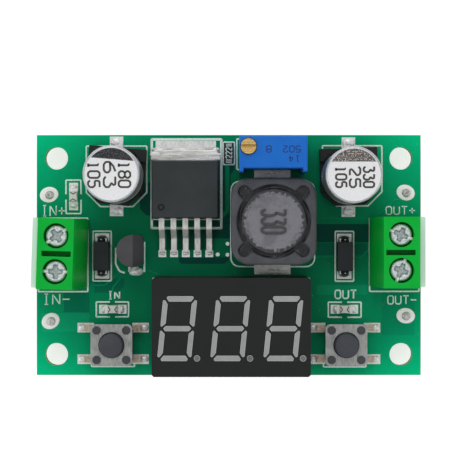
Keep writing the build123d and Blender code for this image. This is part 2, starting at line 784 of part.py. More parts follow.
# Tact switches: a base with a round cavity, legs, a snap dome, a flanged button and a riveted cover
cover_bottom = switch_base_height
cover_top = cover_bottom + switch_cover_thickness
rivet_spread = 2 * switch_rivet_offset
leg_path = [
    (switch_side / 2 - switch_base_inset, switch_leg_height),
    (switch_side / 2 + switch_leg_reach - switch_leg_foot, switch_leg_height),
    (switch_side / 2 + switch_leg_reach - switch_leg_foot, 0),
    (switch_side / 2 + switch_leg_reach, 0),
]
flange_top = cover_bottom - button_top_gap
flange_bottom = flange_top - button_flange_thickness
dome_height = switch_travel + dome_pressed_height
cavity_floor = flange_bottom - dome_gap - dome_height
inner_dome = dome_height - dome_thickness
dome_slope_run = (dome_diameter - dome_crown_diameter) / 2
dome_wall_run = dome_thickness * hypot(dome_slope_run, dome_height) / dome_height
for side, place in switch_places.items():
    switch_seat = seat(place)
    centre_line = Axis(switch_seat.origin, (0, 0, 1))
    with BuildPart() as legs:
        for turn in (0, 180):
            for v in (-switch_leg_spacing / 2, switch_leg_spacing / 2):
                leg_section = section_along_x(seat(place, turn), v)
                bent_strip(leg_section, leg_path, 0, switch_leg_thickness, switch_leg_width)
    with BuildPart() as base:
        with BuildSketch(switch_seat):
            block = switch_side - 2 * switch_base_inset
            outline = Rectangle(block, block)
            chamfer(outline.vertices(), switch_base_corner)
        extrude(amount=switch_base_height)
        with BuildSketch(switch_seat.offset(cavity_floor)):
            Circle(switch_cavity_diameter / 2)
        extrude(amount=switch_base_height - cavity_floor, mode=Mode.SUBTRACT)
        with BuildSketch(switch_seat.offset(cover_bottom)):
            with GridLocations(rivet_spread, rivet_spread, 2, 2):
                Rectangle(switch_rivet_stem, switch_rivet_stem)
        extrude(amount=switch_cover_thickness)
        with BuildSketch(switch_seat.offset(cover_top)):
            with GridLocations(rivet_spread, rivet_spread, 2, 2):
                small_round(switch_rivet_diameter)
        extrude(amount=switch_rivet_height)
    with BuildPart() as cover:
        with BuildSketch(switch_seat.offset(cover_bottom)):
            RectangleRounded(switch_side, switch_side, switch_corner)
            Circle(switch_cover_hole / 2, mode=Mode.SUBTRACT)
            with GridLocations(rivet_spread, rivet_spread, 2, 2):
                stem_hole = switch_rivet_stem + 2 * switch_rivet_gap
                Rectangle(stem_hole, stem_hole, mode=Mode.SUBTRACT)
        extrude(amount=switch_cover_thickness)
    with BuildPart() as button:
        with BuildSketch(section_along_x(switch_seat)):
            with BuildLine():
                Polyline(
                    (0, flange_bottom),
                    (button_flange_diameter / 2, flange_bottom),
                    (button_flange_diameter / 2, flange_top),
                    (button_diameter / 2, flange_top),
                    (button_diameter / 2, button_height - button_edge),
                    (button_diameter / 2 - button_edge, button_height),
                    (0, button_height),
                    close=True,
                )
            make_face()
        revolve(axis=centre_line)
    with BuildPart() as dome:
        with BuildSketch(section_along_x(switch_seat.offset(cavity_floor))):
            with BuildLine():
                Polyline(
                    (0, dome_height),
                    (dome_crown_diameter / 2, dome_height),
                    (dome_diameter / 2, 0),
                    (dome_diameter / 2 - dome_wall_run, 0),
                    (dome_diameter / 2 - dome_wall_run - dome_slope_run * inner_dome / dome_height, inner_dome),
                    (0, inner_dome),
                    close=True,
                )
            make_face()
        revolve(axis=centre_line)
    write(base, f"{side}_switch_base")
    write(legs, f"{side}_switch_legs")
    write(cover, f"{side}_switch_cover")
    write(button, f"{side}_switch_button")
    write(dome, f"{side}_switch_dome")


# Display: a hollow housing with slanted segment pockets, their light-coloured fill, back and pins
def slanted(x, y):
    """Point of an upright digit after the digit is slanted."""
    return (x + y * tan(radians(digit_slant)), y)


def segment_outlines():
    """Corners of a digit's seven segments about the digit's centre, before it is slanted."""
    half = segment_width / 2
    flat = segment_half_length
    reach = digit_half_height - segment_gap * 0.3
    shapes = [[(-flat, 0), (-flat + half, half), (flat - half, half), (flat, 0), (flat - half, -half),
               (-flat + half, -half)]]
    for up in (-1, 1):
        bar = up * digit_half_height
        tip = up * (digit_half_height + half)
        foot = up * (digit_half_height - half)
        shapes.append([(-flat, tip), (flat, tip), (flat - segment_width, foot), (segment_width - flat, foot)])
        for out in (-1, 1):
            outer = out * (digit_half_width + half)
            inner = out * (digit_half_width - half)
            shapes.append([
                (outer, up * (segment_gap + half * 0.3)),
                (outer, bar - up * segment_gap * 0.3),
                (inner, up * (reach - segment_width)),
                (inner, up * (segment_gap + half * 0.9)),
                (out * digit_half_width, up * segment_gap),
            ])
    return shapes


display_top = display_seat.offset(display_height)
digit_places = [
    (digit_offset[0] + (i - (digit_count - 1) / 2) * digit_pitch, digit_offset[1])
    for i in range(digit_count)
]
with BuildPart() as display_segments:
    with BuildSketch(display_top):
        with Locations(*digit_places):
            for shape in segment_outlines():
                Polygon(*[slanted(x, y) for x, y in shape], align=None)
            with Locations(point_offset):
                small_round(point_diameter)
    extrude(amount=-segment_depth)
with BuildPart() as display_pins:
    for spot in display_pin_spots:
        pin_top = board_top + display_fill_recess + display_pin_embed
        square_pin(spot, display_pin_size, pin_tip, pin_top - pin_tip)
with BuildPart() as display:
    with BuildSketch(display_seat):
        outline = Rectangle(display_length, display_width)
        chamfer(outline.vertices(), display_corner)
    extrude(amount=display_height)
    with BuildSketch(display_seat):
        Rectangle(display_length - 2 * display_wall, display_width - 2 * display_wall)
    extrude(amount=display_height - display_face, mode=Mode.SUBTRACT)
    add(display_segments.part, mode=Mode.SUBTRACT)
with BuildPart() as display_back:
    with BuildSketch(display_seat.offset(display_fill_recess)):
        Rectangle(display_length - 2 * display_wall, display_width - 2 * display_wall)
    extrude(amount=display_fill_depth)
    add(display_pins.part, mode=Mode.SUBTRACT)
write(display, "display_housing")
write(display_segments, "display_segments")
write(display_back, "display_back")
write(display_pins, "display_pins")

# Screw terminals: a moulded housing whose chambers hold rising clamp cages under captive screws
housing_outline = [
    (-terminal_inner, 0),
    (terminal_outer, 0),
    (terminal_outer, terminal_lip_height),
    (terminal_front, terminal_lip_height),
    (terminal_top_outer, terminal_height),
    (-terminal_top_inner, terminal_height),
    (-terminal_inner, terminal_skirt_height),
]
cage_bottom = cage_floor_gap
cage_inner_bottom = cage_bottom + cage_wall
cage_inner_top = cage_bottom + cage_height - cage_top
contact_top = cage_inner_top - contact_gap
contact_bottom = contact_top - contact_thickness
screw_foot = contact_top + clamp_screw_tip_gap
screw_seat = well_floor + clamp_screw_rest_gap
terminal_contacts = []
for side, (place, turn) in terminal_places.items():
    block = terminal_seats[side]
    facing = round(cos(radians(turn)))
    lane_places = {"lower": -facing * terminal_pitch / 2, "upper": facing * terminal_pitch / 2}
    with BuildPart() as housing:
        with BuildSketch(section_along_x(block)):
            with BuildLine():
                Polyline(*housing_outline, close=True)
            make_face()
        extrude(amount=terminal_length / 2, both=True)
        with BuildSketch(block.offset(terminal_height)):
            with Locations((terminal_slot_shift, 0)):
                Rectangle(*terminal_slot)
        extrude(amount=-terminal_slot_depth, mode=Mode.SUBTRACT)
        with BuildSketch(block):
            with GridLocations(0, terminal_pitch, 1, 2):
                with Locations(((chamber_outer - chamber_inner) / 2, 0)):
                    Rectangle(chamber_inner + chamber_outer, chamber_width)
        extrude(amount=cage_bottom + cage_height + cage_travel + cage_roof_gap, mode=Mode.SUBTRACT)
        with BuildSketch(block):
            with GridLocations(0, terminal_pitch, 1, 2):
                Circle(neck_diameter / 2)
        extrude(amount=terminal_height, mode=Mode.SUBTRACT)
        with BuildSketch(block.offset(well_floor)):
            with GridLocations(0, terminal_pitch, 1, 2):
                Circle(well_diameter / 2)
        extrude(amount=terminal_height - well_floor, mode=Mode.SUBTRACT)
        entry_height = contact_bottom - entry_bottom
        entry_plane = Plane(
            block.from_local_coords((terminal_outer, 0, entry_bottom + entry_height / 2)),
            x_dir=block.y_dir,
            z_dir=block.x_dir,
        )
        with BuildSketch(entry_plane):
            with GridLocations(terminal_pitch, 0, 2, 1):
                Rectangle(entry_width, entry_height)
        extrude(amount=chamber_outer - terminal_outer, mode=Mode.SUBTRACT)
    write(housing, f"{side}_terminal_housing")
    with BuildPart() as contacts:
        for v in lane_places.values():
            bar = section_along_x(block, v)
            with BuildSketch(bar):
                with BuildLine():
                    leg_inner = -contact_leg_place - contact_thickness / 2
                    leg_outer = -contact_leg_place + contact_thickness / 2
                    Polyline(
                        (leg_inner, 0),
                        (leg_inner, contact_top),
                        (contact_outer, contact_top),
                        (contact_outer, contact_bottom),
                        (leg_outer, contact_bottom),
                        (leg_outer, 0),
                        close=True,
                    )
                make_face()
            extrude(amount=contact_width / 2, both=True)
            with BuildSketch(block):
                with Locations((-contact_leg_place, v)):
                    Rectangle(contact_thickness, terminal_pin_width)
            extrude(amount=pin_tip - board_top)
    terminal_contacts.append(write(contacts, f"{side}_terminal_contacts"))
    for lane, v in lane_places.items():
        clamp = seat(on_board(block, 0, v), turn, board_top)
        with BuildPart() as cage:
            with BuildSketch(section_along_y(clamp)):
                with Locations((0, cage_bottom + cage_height / 2)):
                    Rectangle(cage_width, cage_height)
                with Locations((0, (cage_inner_bottom + cage_inner_top) / 2)):
                    window = (cage_width - 2 * cage_wall, cage_inner_top - cage_inner_bottom)
                    Rectangle(*window, mode=Mode.SUBTRACT)
            extrude(amount=cage_depth / 2, both=True)
            with BuildSketch(clamp.offset(cage_inner_top)):
                Circle(clamp_screw_shank_diameter / 2 + cage_hole_gap)
            extrude(amount=cage_top, mode=Mode.SUBTRACT)
        write(cage, f"{side}_{lane}_cage")
        with BuildPart() as screw:
            with BuildSketch(clamp.offset(screw_seat)):
                Circle(clamp_screw_head_diameter / 2)
            extrude(amount=clamp_screw_head_height)
            slot_plane = seat(
                on_board(block, 0, v),
                clamp_screw_turn[side][lane],
                board_top + screw_seat + clamp_screw_head_height,
            )
            with BuildSketch(slot_plane):
                Rectangle(well_diameter, clamp_screw_slot_width)
            extrude(amount=-clamp_screw_slot_depth, mode=Mode.SUBTRACT)
            with BuildSketch(clamp.offset(screw_foot)):
                Circle(clamp_screw_shank_diameter / 2)
            extrude(amount=screw_seat - screw_foot)
        write(screw, f"{side}_{lane}_screw")

# Controller chip under the board: a flat body with draft and two rows of gull-wing leads
controller_seat = hung(controller_at)
controller_lead_height = controller_standoff + controller_height / 2
controller_path = [
    (controller_width / 2, controller_lead_height),
    (controller_width / 2 + controller_lead_reach - controller_lead_foot, controller_lead_height),
    (controller_width / 2 + controller_lead_reach - controller_lead_foot, 0),
    (controller_width / 2 + controller_lead_reach, 0),
]
with BuildPart() as controller_leads:
    for turn in (0, 180):
        for i in range(controller_lead_count):
            shift = (i - (controller_lead_count - 1) / 2) * controller_lead_pitch
            bent_strip(
                section_along_y(hung(controller_at, turn), shift),
                controller_path,
                0,
                controller_lead_thickness,
                controller_lead_width,
            )
with BuildPart() as controller:
    with BuildSketch(controller_seat.offset(controller_standoff)):
        Rectangle(controller_length, controller_width)
    extrude(amount=controller_height)
write(controller, "controller_body")
write(controller_leads, "controller_leads")

# Solder cones round the pins on the underside
with BuildPart() as cones:
    with BuildSketch(Plane.XY.offset(-solder_cone_height)):
        with Locations(*[spot for spot, diameter in pins_through]):
            small_round(2 * solder_cone_radius)
    extrude(amount=solder_cone_height)
    chamfer(cones.edges().group_by(Axis.Z)[0], solder_cone_radius - solder_cone_crown)
    add(display_pins.part, mode=Mode.SUBTRACT)
    add(trimmer_pins.part, mode=Mode.SUBTRACT)
    add(small_leads.part, mode=Mode.SUBTRACT)
    for pair in terminal_contacts:
        add(pair, mode=Mode.SUBTRACT)
write(cones, "underside_solder")
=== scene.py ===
# %% [markdown]
# The object is a small voltage converter: a green circuit board with screw terminals, two can
# capacitors, a regulator on a metal tab, a shielded coil, a blue trimmer, two push buttons and a
# three-digit display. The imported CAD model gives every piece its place. This script gives each
# piece its finish, and adds what is too fine for the solids: printed outlines, copper under the
# mask, solder, rounded edges and figures.

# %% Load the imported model
import json
import math

import bmesh
import bpy
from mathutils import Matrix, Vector


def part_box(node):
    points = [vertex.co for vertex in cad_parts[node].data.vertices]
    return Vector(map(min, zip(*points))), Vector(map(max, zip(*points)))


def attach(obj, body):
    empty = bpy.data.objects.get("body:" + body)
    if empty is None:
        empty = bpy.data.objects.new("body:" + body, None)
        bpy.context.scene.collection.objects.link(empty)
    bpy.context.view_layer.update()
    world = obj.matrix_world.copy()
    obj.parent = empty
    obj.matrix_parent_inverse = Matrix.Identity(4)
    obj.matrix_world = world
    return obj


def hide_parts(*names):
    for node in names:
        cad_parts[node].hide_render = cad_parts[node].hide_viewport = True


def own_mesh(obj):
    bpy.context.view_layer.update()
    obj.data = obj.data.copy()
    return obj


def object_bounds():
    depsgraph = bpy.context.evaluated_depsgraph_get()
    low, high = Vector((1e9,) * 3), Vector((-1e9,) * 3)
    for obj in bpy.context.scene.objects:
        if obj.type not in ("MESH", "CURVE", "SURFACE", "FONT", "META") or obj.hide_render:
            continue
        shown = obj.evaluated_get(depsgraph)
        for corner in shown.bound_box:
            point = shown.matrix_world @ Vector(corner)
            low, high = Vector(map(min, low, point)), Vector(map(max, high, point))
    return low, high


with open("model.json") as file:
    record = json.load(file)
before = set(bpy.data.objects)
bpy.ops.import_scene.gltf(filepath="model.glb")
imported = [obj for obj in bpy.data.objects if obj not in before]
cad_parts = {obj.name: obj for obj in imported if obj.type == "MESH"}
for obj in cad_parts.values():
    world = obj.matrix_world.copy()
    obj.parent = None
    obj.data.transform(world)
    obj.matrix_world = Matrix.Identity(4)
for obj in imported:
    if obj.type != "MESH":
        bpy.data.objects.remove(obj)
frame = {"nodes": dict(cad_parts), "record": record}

scene = bpy.context.scene
cad_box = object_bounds()

# %% [markdown]
# Every length below is written in millimetres, as on a drawing, and turned into metres in one
# place. The heights come from the CAD boxes, so a print or a drop of solder sits on what
# carries it.

# %% Millimetres and heights
MM = 0.001


def extent(node):
    """Lowest and highest corner of a CAD node in millimetres."""
    return [[c / MM for c in corner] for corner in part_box(node)]


def high(node):
    """Top of a CAD node in millimetres."""
    return extent(node)[1][2]


def middle(node):
    """Middle of a CAD node's box in millimetres."""
    return tuple((a + b) / 2 for a, b in zip(*extent(node)))


board_top = high("circuit_board")
pad_top = high("solder_pads")
print("board top", round(board_top, 3), "pads", round(pad_top, 3))

# %% [markdown]
# Shader sums read best as sums. A small class wraps one socket, and its operators add the Math
# nodes, also when the number comes first. A finish holds one material, and one method adds any
# other node: its settings first, then the values or links of its sockets.

# %% Shader maths
class Value:
    """One number in a shader; sums on it add Math nodes."""

    def __init__(self, finish, socket):
        self.finish = finish
        self.socket = socket

    def math(self, operation, *others):
        values = [self, *others]
        node = self.finish.node("ShaderNodeMath", {"operation": operation}, dict(enumerate(values)))
        return Value(self.finish, node.outputs[0])

    def __add__(self, other):
        return self.math("ADD", other)

    def __radd__(self, other):
        return self.math("ADD", other)

    def __sub__(self, other):
        return self.math("SUBTRACT", other)

    def __rsub__(self, other):
        return self.math("MULTIPLY", -1.0).math("ADD", other)

    def __mul__(self, other):
        return self.math("MULTIPLY", other)

    def __rmul__(self, other):
        return self.math("MULTIPLY", other)

    def __truediv__(self, other):
        return self.math("DIVIDE", other)

    def over(self, limit, soft):
        """0 below a limit and 1 above it, with a soft step."""
        return ((self - limit) / soft + 0.5).math("MINIMUM", 1.0).math("MAXIMUM", 0.0)


def tone(red, green, blue):
    """Screen colour as 0 to 255 turned into the linear colour that a shader takes."""
    linear = [c / 255 / 12.92 if c <= 10 else ((c / 255 + 0.055) / 1.055) ** 2.4 for c in (red, green, blue)]
    return (*linear, 1.0)


class Finish:
    """One material: a main shader and the nodes that feed it."""

    def __init__(self, name, **constants):
        self.material = bpy.data.materials.new(name)
        self.material.use_nodes = True
        self.tree = self.material.node_tree
        self.tree.nodes.clear()
        settings = {key.replace("_", " ").title(): value for key, value in constants.items()}
        self.shader = self.node("ShaderNodeBsdfPrincipled", None, settings)
        self.output = self.node("ShaderNodeOutputMaterial")
        self.tree.links.new(self.shader.outputs[0], self.output.inputs[0])

    def node(self, kind, settings=None, inputs=None):
        node = self.tree.nodes.new(kind)
        for key, value in (settings or {}).items():
            setattr(node, key, value)
        for key, value in (inputs or {}).items():
            self.feed(node.inputs[key], value)
        return node

    def feed(self, socket, value):
        if isinstance(value, Value):
            self.tree.links.new(value.socket, socket)
        else:
            socket.default_value = value

    def set(self, name, value):
        """A varying value or a constant for one socket of the main shader."""
        self.feed(self.shader.inputs[name], value)

    def place(self, stretch=(1.0, 1.0, 1.0), offset=0.0):
        """Object coordinates in millimetres, stretched along each axis and moved by an offset."""
        where = Value(self, self.node("ShaderNodeTexCoord").outputs["Object"])
        moved = self.node("ShaderNodeVectorMath", {"operation": "MULTIPLY_ADD"},
                          {0: where, 1: tuple(s / MM for s in stretch), 2: (offset,) * 3})
        return Value(self, moved.outputs[0])

    def parts(self, vector):
        """Three numbers of a vector."""
        node = self.node("ShaderNodeSeparateXYZ", None, {0: vector})
        return [Value(self, output) for output in node.outputs]

    def axes(self):
        """Object coordinates in millimetres as three numbers."""
        return self.parts(self.place())

    def upward(self):
        """How far a face points up: 1 on a level top, 0 on a wall and -1 on an underside."""
        normal = Value(self, self.node("ShaderNodeNewGeometry").outputs["Normal"])
        return self.parts(normal)[2]

    def noise(self, size, detail=2.0, stretch=(1.0, 1.0, 1.0), offset=0.0):
        """Cloudy variation from 0 to 1 whose patches measure about size in millimetres."""
        inputs = {"Vector": self.place(stretch, offset), "Scale": 1.0 / size, "Detail": detail}
        return Value(self, self.node("ShaderNodeTexNoise", None, inputs).outputs[0])

    def cells(self, size, offset=0.0):
        """Distance to the nearest of scattered points, for specks and grains."""
        inputs = {"Vector": self.place(offset=offset), "Scale": 1.0 / size}
        return Value(self, self.node("ShaderNodeTexVoronoi", None, inputs).outputs["Distance"])

    def mix(self, factor, first, second):
        """Colour between two colours."""
        node = self.node("ShaderNodeMix", {"data_type": "RGBA"}, {0: factor, 6: first, 7: second})
        return Value(self, node.outputs[2])

    def bump(self, height, depth, strength=1.0):
        """Relief whose full height is depth in millimetres."""
        inputs = {"Height": height, "Distance": depth * MM, "Strength": strength}
        node = self.node("ShaderNodeBump", None, inputs)
        self.set("Normal", Value(self, node.outputs[0]))


print("tone of mid grey", [round(c, 3) for c in tone(128, 128, 128)])

# %% [markdown]
# The photograph looks straight down from about 22 centimetres, so tall pieces lean outwards a
# little. A long lens at the same height repeats that lean.

# %% Camera
camera = bpy.data.objects.new("camera", bpy.data.cameras.new("camera"))
long_lens, sensor_width = 118.56, 36.0
eye = (0.04, 3.98, 221.6)
camera.data.lens = long_lens
camera.data.sensor_width = sensor_width
camera.data.clip_start = 0.01
camera.location = [c * MM for c in eye]
scene.collection.objects.link(camera)
scene.camera = camera
print("camera height", round(camera.location.z, 4))

# %% [markdown]
# The photograph has soft light from all round and a white ground. A pale world and a ring of
# three large soft lamps give that. None stands where a flat gloss face would mirror it. The
# levels add up so that a colour renders about as written. The floor shows as white because its
# material adds a little light for the camera and for reflections; it still takes the shadow.

# %% Lamps and floor
def soft_lamp(name, place, aim, side, radiance):
    """Square lamp; its power follows from its radiance and its size in metres."""
    lamp = bpy.data.lights.new(name, "AREA")
    lamp.size = side
    lamp.energy = radiance * math.pi * side ** 2
    holder = bpy.data.objects.new(name, lamp)
    holder.location = place
    holder.rotation_euler = (Vector(aim) - Vector(place)).to_track_quat("-Z", "Y").to_euler()
    scene.collection.objects.link(holder)


soft_lamp("far_lamp", (-0.1, 0.62, 0.62), (0, 0, 0), 0.5, 2.1)
soft_lamp("left_lamp", (-0.65, -0.15, 0.55), (0, 0, 0), 0.4, 1.9)
soft_lamp("right_lamp", (0.65, -0.25, 0.6), (0, 0, 0), 0.4, 1.4)
world = bpy.data.worlds.new("studio")
world.use_nodes = True
sky = world.node_tree.nodes["Background"]
sky_level, floor_level = 0.62, 0.6
sky.inputs["Color"].default_value = (1.0, 1.0, 1.0, 1.0)
sky.inputs["Strength"].default_value = sky_level
scene.world = world
scene.view_settings.view_transform = "Standard"

floor_z = cad_box[0][2]
floor_mesh = bpy.data.meshes.new("floor")
floor_corners = [(x, y, floor_z) for x, y in ((-1, -1), (1, -1), (1, 1), (-1, 1))]
floor_mesh.from_pydata(floor_corners, [], [(0, 1, 2, 3)])
floor = bpy.data.objects.new("floor", floor_mesh)
scene.collection.objects.link(floor)
paper = Finish("white_floor")
rays = paper.node("ShaderNodeLightPath")
camera_ray, glossy_ray, clear_ray = [
    Value(paper, rays.outputs[f"Is {kind} Ray"]) for kind in ("Camera", "Glossy", "Transmission")]
seen = camera_ray.math("MAXIMUM", glossy_ray).math("MAXIMUM", clear_ray)
glow = paper.node("ShaderNodeEmission", None, {"Strength": seen * floor_level})
matt = paper.node("ShaderNodeBsdfDiffuse", None, {"Color": (0.8, 0.8, 0.8, 1.0)})
lit = {i: Value(paper, part.outputs[0]) for i, part in enumerate((matt, glow))}
both = paper.node("ShaderNodeAddShader", None, lit)
paper.feed(paper.output.inputs[0], Value(paper, both.outputs[0]))
paper.tree.nodes.remove(paper.shader)
floor_mesh.materials.append(paper.material)
print("floor at", round(floor_z, 5))

# %% [markdown]
# Solder mask is a clear green lacquer over glass cloth and copper. Its colour carries painted light towards the
# edges of the board and painted shade over the middle, and fine dust and flux specks. The edge of the board
# shows the raw laminate, which is told apart by the way its faces point.

# %% Solder mask
half_length, half_width, middle_y = 28.0, 17.5, 0.2


def mask_finish(name, dark, light, specks=0.5):
    """Lacquer with painted shade in the middle of the board and painted light near its edges."""
    finish = Finish(name)
    finish.set("Specular IOR Level", 0.05)
    x, y, _ = finish.axes()
    u, v = x / half_length, (y - middle_y) / half_width
    along, across = u * u, v * v
    # Painted light and shade: the green is lighter towards the board's edges and darker over its middle.
    edge = along * 0.32 + across * 0.24 + along * across * 0.5
    cloud = finish.noise(3.0, 3.0)
    colour = finish.mix((edge + (cloud - 0.5) * 0.12).math("MAXIMUM", 0.0), tone(*dark), tone(*light))
    weave = finish.noise(0.35, 1.0)
    colour = finish.mix((weave - 0.5) * 0.16 + 0.08, colour, tone(0, 60, 40))
    if specks:
        scattered = finish.noise(2.5, 1.0, offset=7.0).over(0.56, 0.1)
        dust = finish.cells(0.9, 4.0).math("LESS_THAN", 0.055) * scattered
        colour = finish.mix(dust * specks, colour, tone(170, 215, 195))
    laminate = 1.0 - finish.upward().math("ABSOLUTE").over(0.5, 0.2)
    fibre = finish.noise(0.12, 2.0, (1.0, 1.0, 4.0))
    bare_cloth = finish.mix(fibre, tone(150, 160, 90), tone(205, 200, 150))
    finish.set("Base Color", finish.mix(laminate, colour, bare_cloth))
    finish.set("Roughness", finish.noise(1.4, 2.0) * 0.16 + laminate * 0.35 + 0.26)
    finish.bump(finish.noise(0.5, 2.0) + weave * 0.4, 0.012)
    return finish


mask = mask_finish("solder_mask", (0, 106, 70), (0, 200, 136))
mask_deep = mask_finish("mask_over_copper_and_shadow", (0, 66, 54), (0, 112, 92), 0.3)
mask_dim = mask_finish("mask_over_pour", (0, 92, 68), (0, 160, 116), 0.3)
mask_soft = mask_finish("mask_over_fill", (0, 102, 70), (0, 184, 128), 0.3)
mask_pale = mask_finish("mask_over_traces", (6, 122, 82), (10, 206, 146), 0.3)
print("mask nodes", len(mask.tree.nodes))

# %% [markdown]
# Tin and solder are pale metals with a skin: tinned leads are drawn and slightly streaky, and
# melted solder is brighter, with frosty patches where it froze.

# %% Metals
def metal_finish(name, dark, light, roughness, grain=0.3, depth=0.02, stretch=(1.0, 1.0, 1.0), metallic=0.85):
    """Metal with cloudy patches of two tones; grain and depth are in millimetres."""
    finish = Finish(name, metallic=metallic)
    cloud = finish.noise(grain, 3.0, stretch)
    patch = finish.noise(grain * 5, 2.0, offset=3.0)
    blend = (cloud * 1.3 + patch * 0.9 - 0.6).math("MINIMUM", 1.0)
    finish.set("Base Color", finish.mix(blend, tone(*dark), tone(*light)))
    finish.set("Roughness", cloud * 0.2 + patch * 0.12 + (roughness - 0.16))
    finish.bump(cloud, depth)
    return finish


solder = metal_finish("melted_solder", (196, 199, 198), (255, 255, 255), 0.28, 0.35, 0.06, metallic=0.25)
tin = metal_finish("matt_tin", (200, 202, 200), (255, 255, 254), 0.4, 0.22, 0.03, metallic=0.2)
lead_tin = metal_finish("tinned_leads", (182, 182, 178), (252, 252, 248), 0.4, 0.3, 0.02, (1.0, 0.35, 1.0), 0.5)
zinc = metal_finish("plated_screw", (118, 130, 134), (236, 242, 244), 0.3, 0.16, 0.07, metallic=0.6)
screw_patch = zinc.noise(0.22, 3.0, offset=11.0)
head_rim = board_top + 9.18
# Painted shade: below the head's rim, in the cross, the slot and on the shank, the zinc takes a darker tone
# than on the face.
bright = zinc.axes()[2].over(head_rim, 0.12)
recess_shade_tone = zinc.mix(screw_patch, tone(122, 134, 134), tone(214, 224, 224))
face_tone = zinc.mix(screw_patch * 1.4 - 0.2, tone(176, 188, 192), tone(252, 254, 255))
zinc.set("Base Color", zinc.mix(bright, recess_shade_tone, face_tone))
cage_zinc = metal_finish("plated_cage", (140, 142, 146), (200, 204, 210), 0.4, 0.4, 0.02)
wet_tab = metal_finish("wetted_tab", (168, 166, 158), (255, 255, 252), 0.24, 0.9, 0.12, (0.45, 1.3, 1.0), 0.45)
# A plain white that stands for painted highlights on metal: glints, streaks, specks and pad rims.
shine = metal_finish("painted_shine", (236, 236, 230), (255, 255, 255), 0.25, 0.3, 0.03, metallic=0.0)
end_caps = metal_finish("end_caps", (176, 178, 176), (240, 242, 240), 0.3, 0.3, 0.03, metallic=0.4)
cap_grain = end_caps.noise(0.3, 3.0, offset=5.0)
above_board = end_caps.axes()[2].over(0.0, 0.1)
bright_caps = end_caps.mix(cap_grain, tone(176, 178, 176), tone(240, 242, 240))
shaded_caps = end_caps.mix(cap_grain * 1.4 - 0.3, tone(10, 18, 16), tone(70, 80, 78))
end_caps.set("Base Color", end_caps.mix(above_board, bright_caps, shaded_caps))
strap_tin = metal_finish("strap_tin", (206, 206, 202), (255, 255, 255), 0.4, 0.7, 0.06, metallic=0.1)
leg_tin = metal_finish("brassy_legs", (120, 98, 74), (226, 212, 190), 0.36, 0.3, 0.04, metallic=0.5)
copper = metal_finish("enamelled_wire", (110, 48, 22), (176, 92, 48), 0.3, 0.25, 0.03, (1.0, 1.0, 6.0))
print("metals made")

# %% Brass with turning marks
brass = Finish("turned_brass", metallic=0.9)
turned = (brass.axes()[1] * 26.0).math("SINE")
worn = brass.noise(0.5, 3.0)
brass.set("Base Color", brass.mix(worn * 0.8 + turned * 0.12, tone(176, 136, 66), tone(240, 214, 150)))
brass.set("Roughness", worn * 0.25 + 0.26)
brass.bump(turned * 0.5 + worn, 0.02)

# %% [markdown]
# Moulding compound, as on chips and diodes, is near black with a sandy matt skin. Moulded
# thermoplastic, as on the terminals and the trimmer, is cleaner and a little glossier. The same
# recipe serves both with other colours, grain and gloss.

# %% Mouldings
def moulded_finish(name, dark, light, roughness=0.5, grain=0.12, depth=0.008, patch=2.5, fleck=None):
    """Matt plastic or ceramic with a fine grain, broad patches and, if wanted, pale flecks."""
    finish = Finish(name)
    fine = finish.noise(grain, 2.0)
    broad = finish.noise(patch, 2.0, offset=5.0)
    colour = finish.mix(fine * 0.45 + broad * 0.75 - 0.1, tone(*dark), tone(*light))
    if fleck:
        scattered = finish.noise(1.2, 1.0, offset=9.0).over(0.52, 0.08)
        dots = finish.cells(0.45, 2.0).math("LESS_THAN", 0.06) * scattered
        colour = finish.mix(dots * 0.7, colour, tone(*fleck))
    finish.set("Base Color", colour)
    finish.set("Roughness", fine * 0.14 + broad * 0.1 + (roughness - 0.12))
    finish.bump(fine + broad * 0.5, depth)
    finish.set("Specular IOR Level", 0.3)
    return finish


mould = moulded_finish("moulding_compound", (34, 39, 41), (54, 60, 62), 0.55, 0.1, 0.012)
diode_mould = moulded_finish("diode_moulding", (18, 21, 24), (38, 42, 45), 0.45, 0.1, 0.012)
small_mould = moulded_finish("small_regulator_moulding", (44, 45, 50), (82, 81, 84), 0.42, 0.12, 0.01)
base_plastic = moulded_finish("capacitor_base", (12, 14, 15), (32, 35, 37), 0.42, 0.15, 0.01)
rivet_plastic = moulded_finish("heat_formed_rivets", (48, 49, 52), (78, 80, 84), 0.5, 0.12, 0.012)
button_plastic = moulded_finish("button", (47, 49, 56), (74, 77, 85), 0.55, 0.12, 0.012)
blue_plastic = moulded_finish("trimmer_blue", (0, 92, 186), (14, 116, 212), 0.42, 0.14, 0.006)

display_plastic = moulded_finish("display_face", (15, 17, 17), (29, 31, 31), 0.62, 0.09, 0.008, 4.0)
segment_resin = moulded_finish("unlit_segments", (136, 140, 139), (166, 170, 168), 0.45, 0.5, 0.004)
back_resin = moulded_finish("potting", (120, 118, 108), (170, 168, 156), 0.4, 0.4, 0.01)
resistor_mould = moulded_finish("resistor_glass", (18, 24, 28), (40, 46, 52), 0.3, 0.1, 0.006)
lamp_carrier = moulded_finish("lamp_carrier", (176, 180, 172), (236, 238, 230), 0.4, 0.14, 0.01)
print("mouldings made")
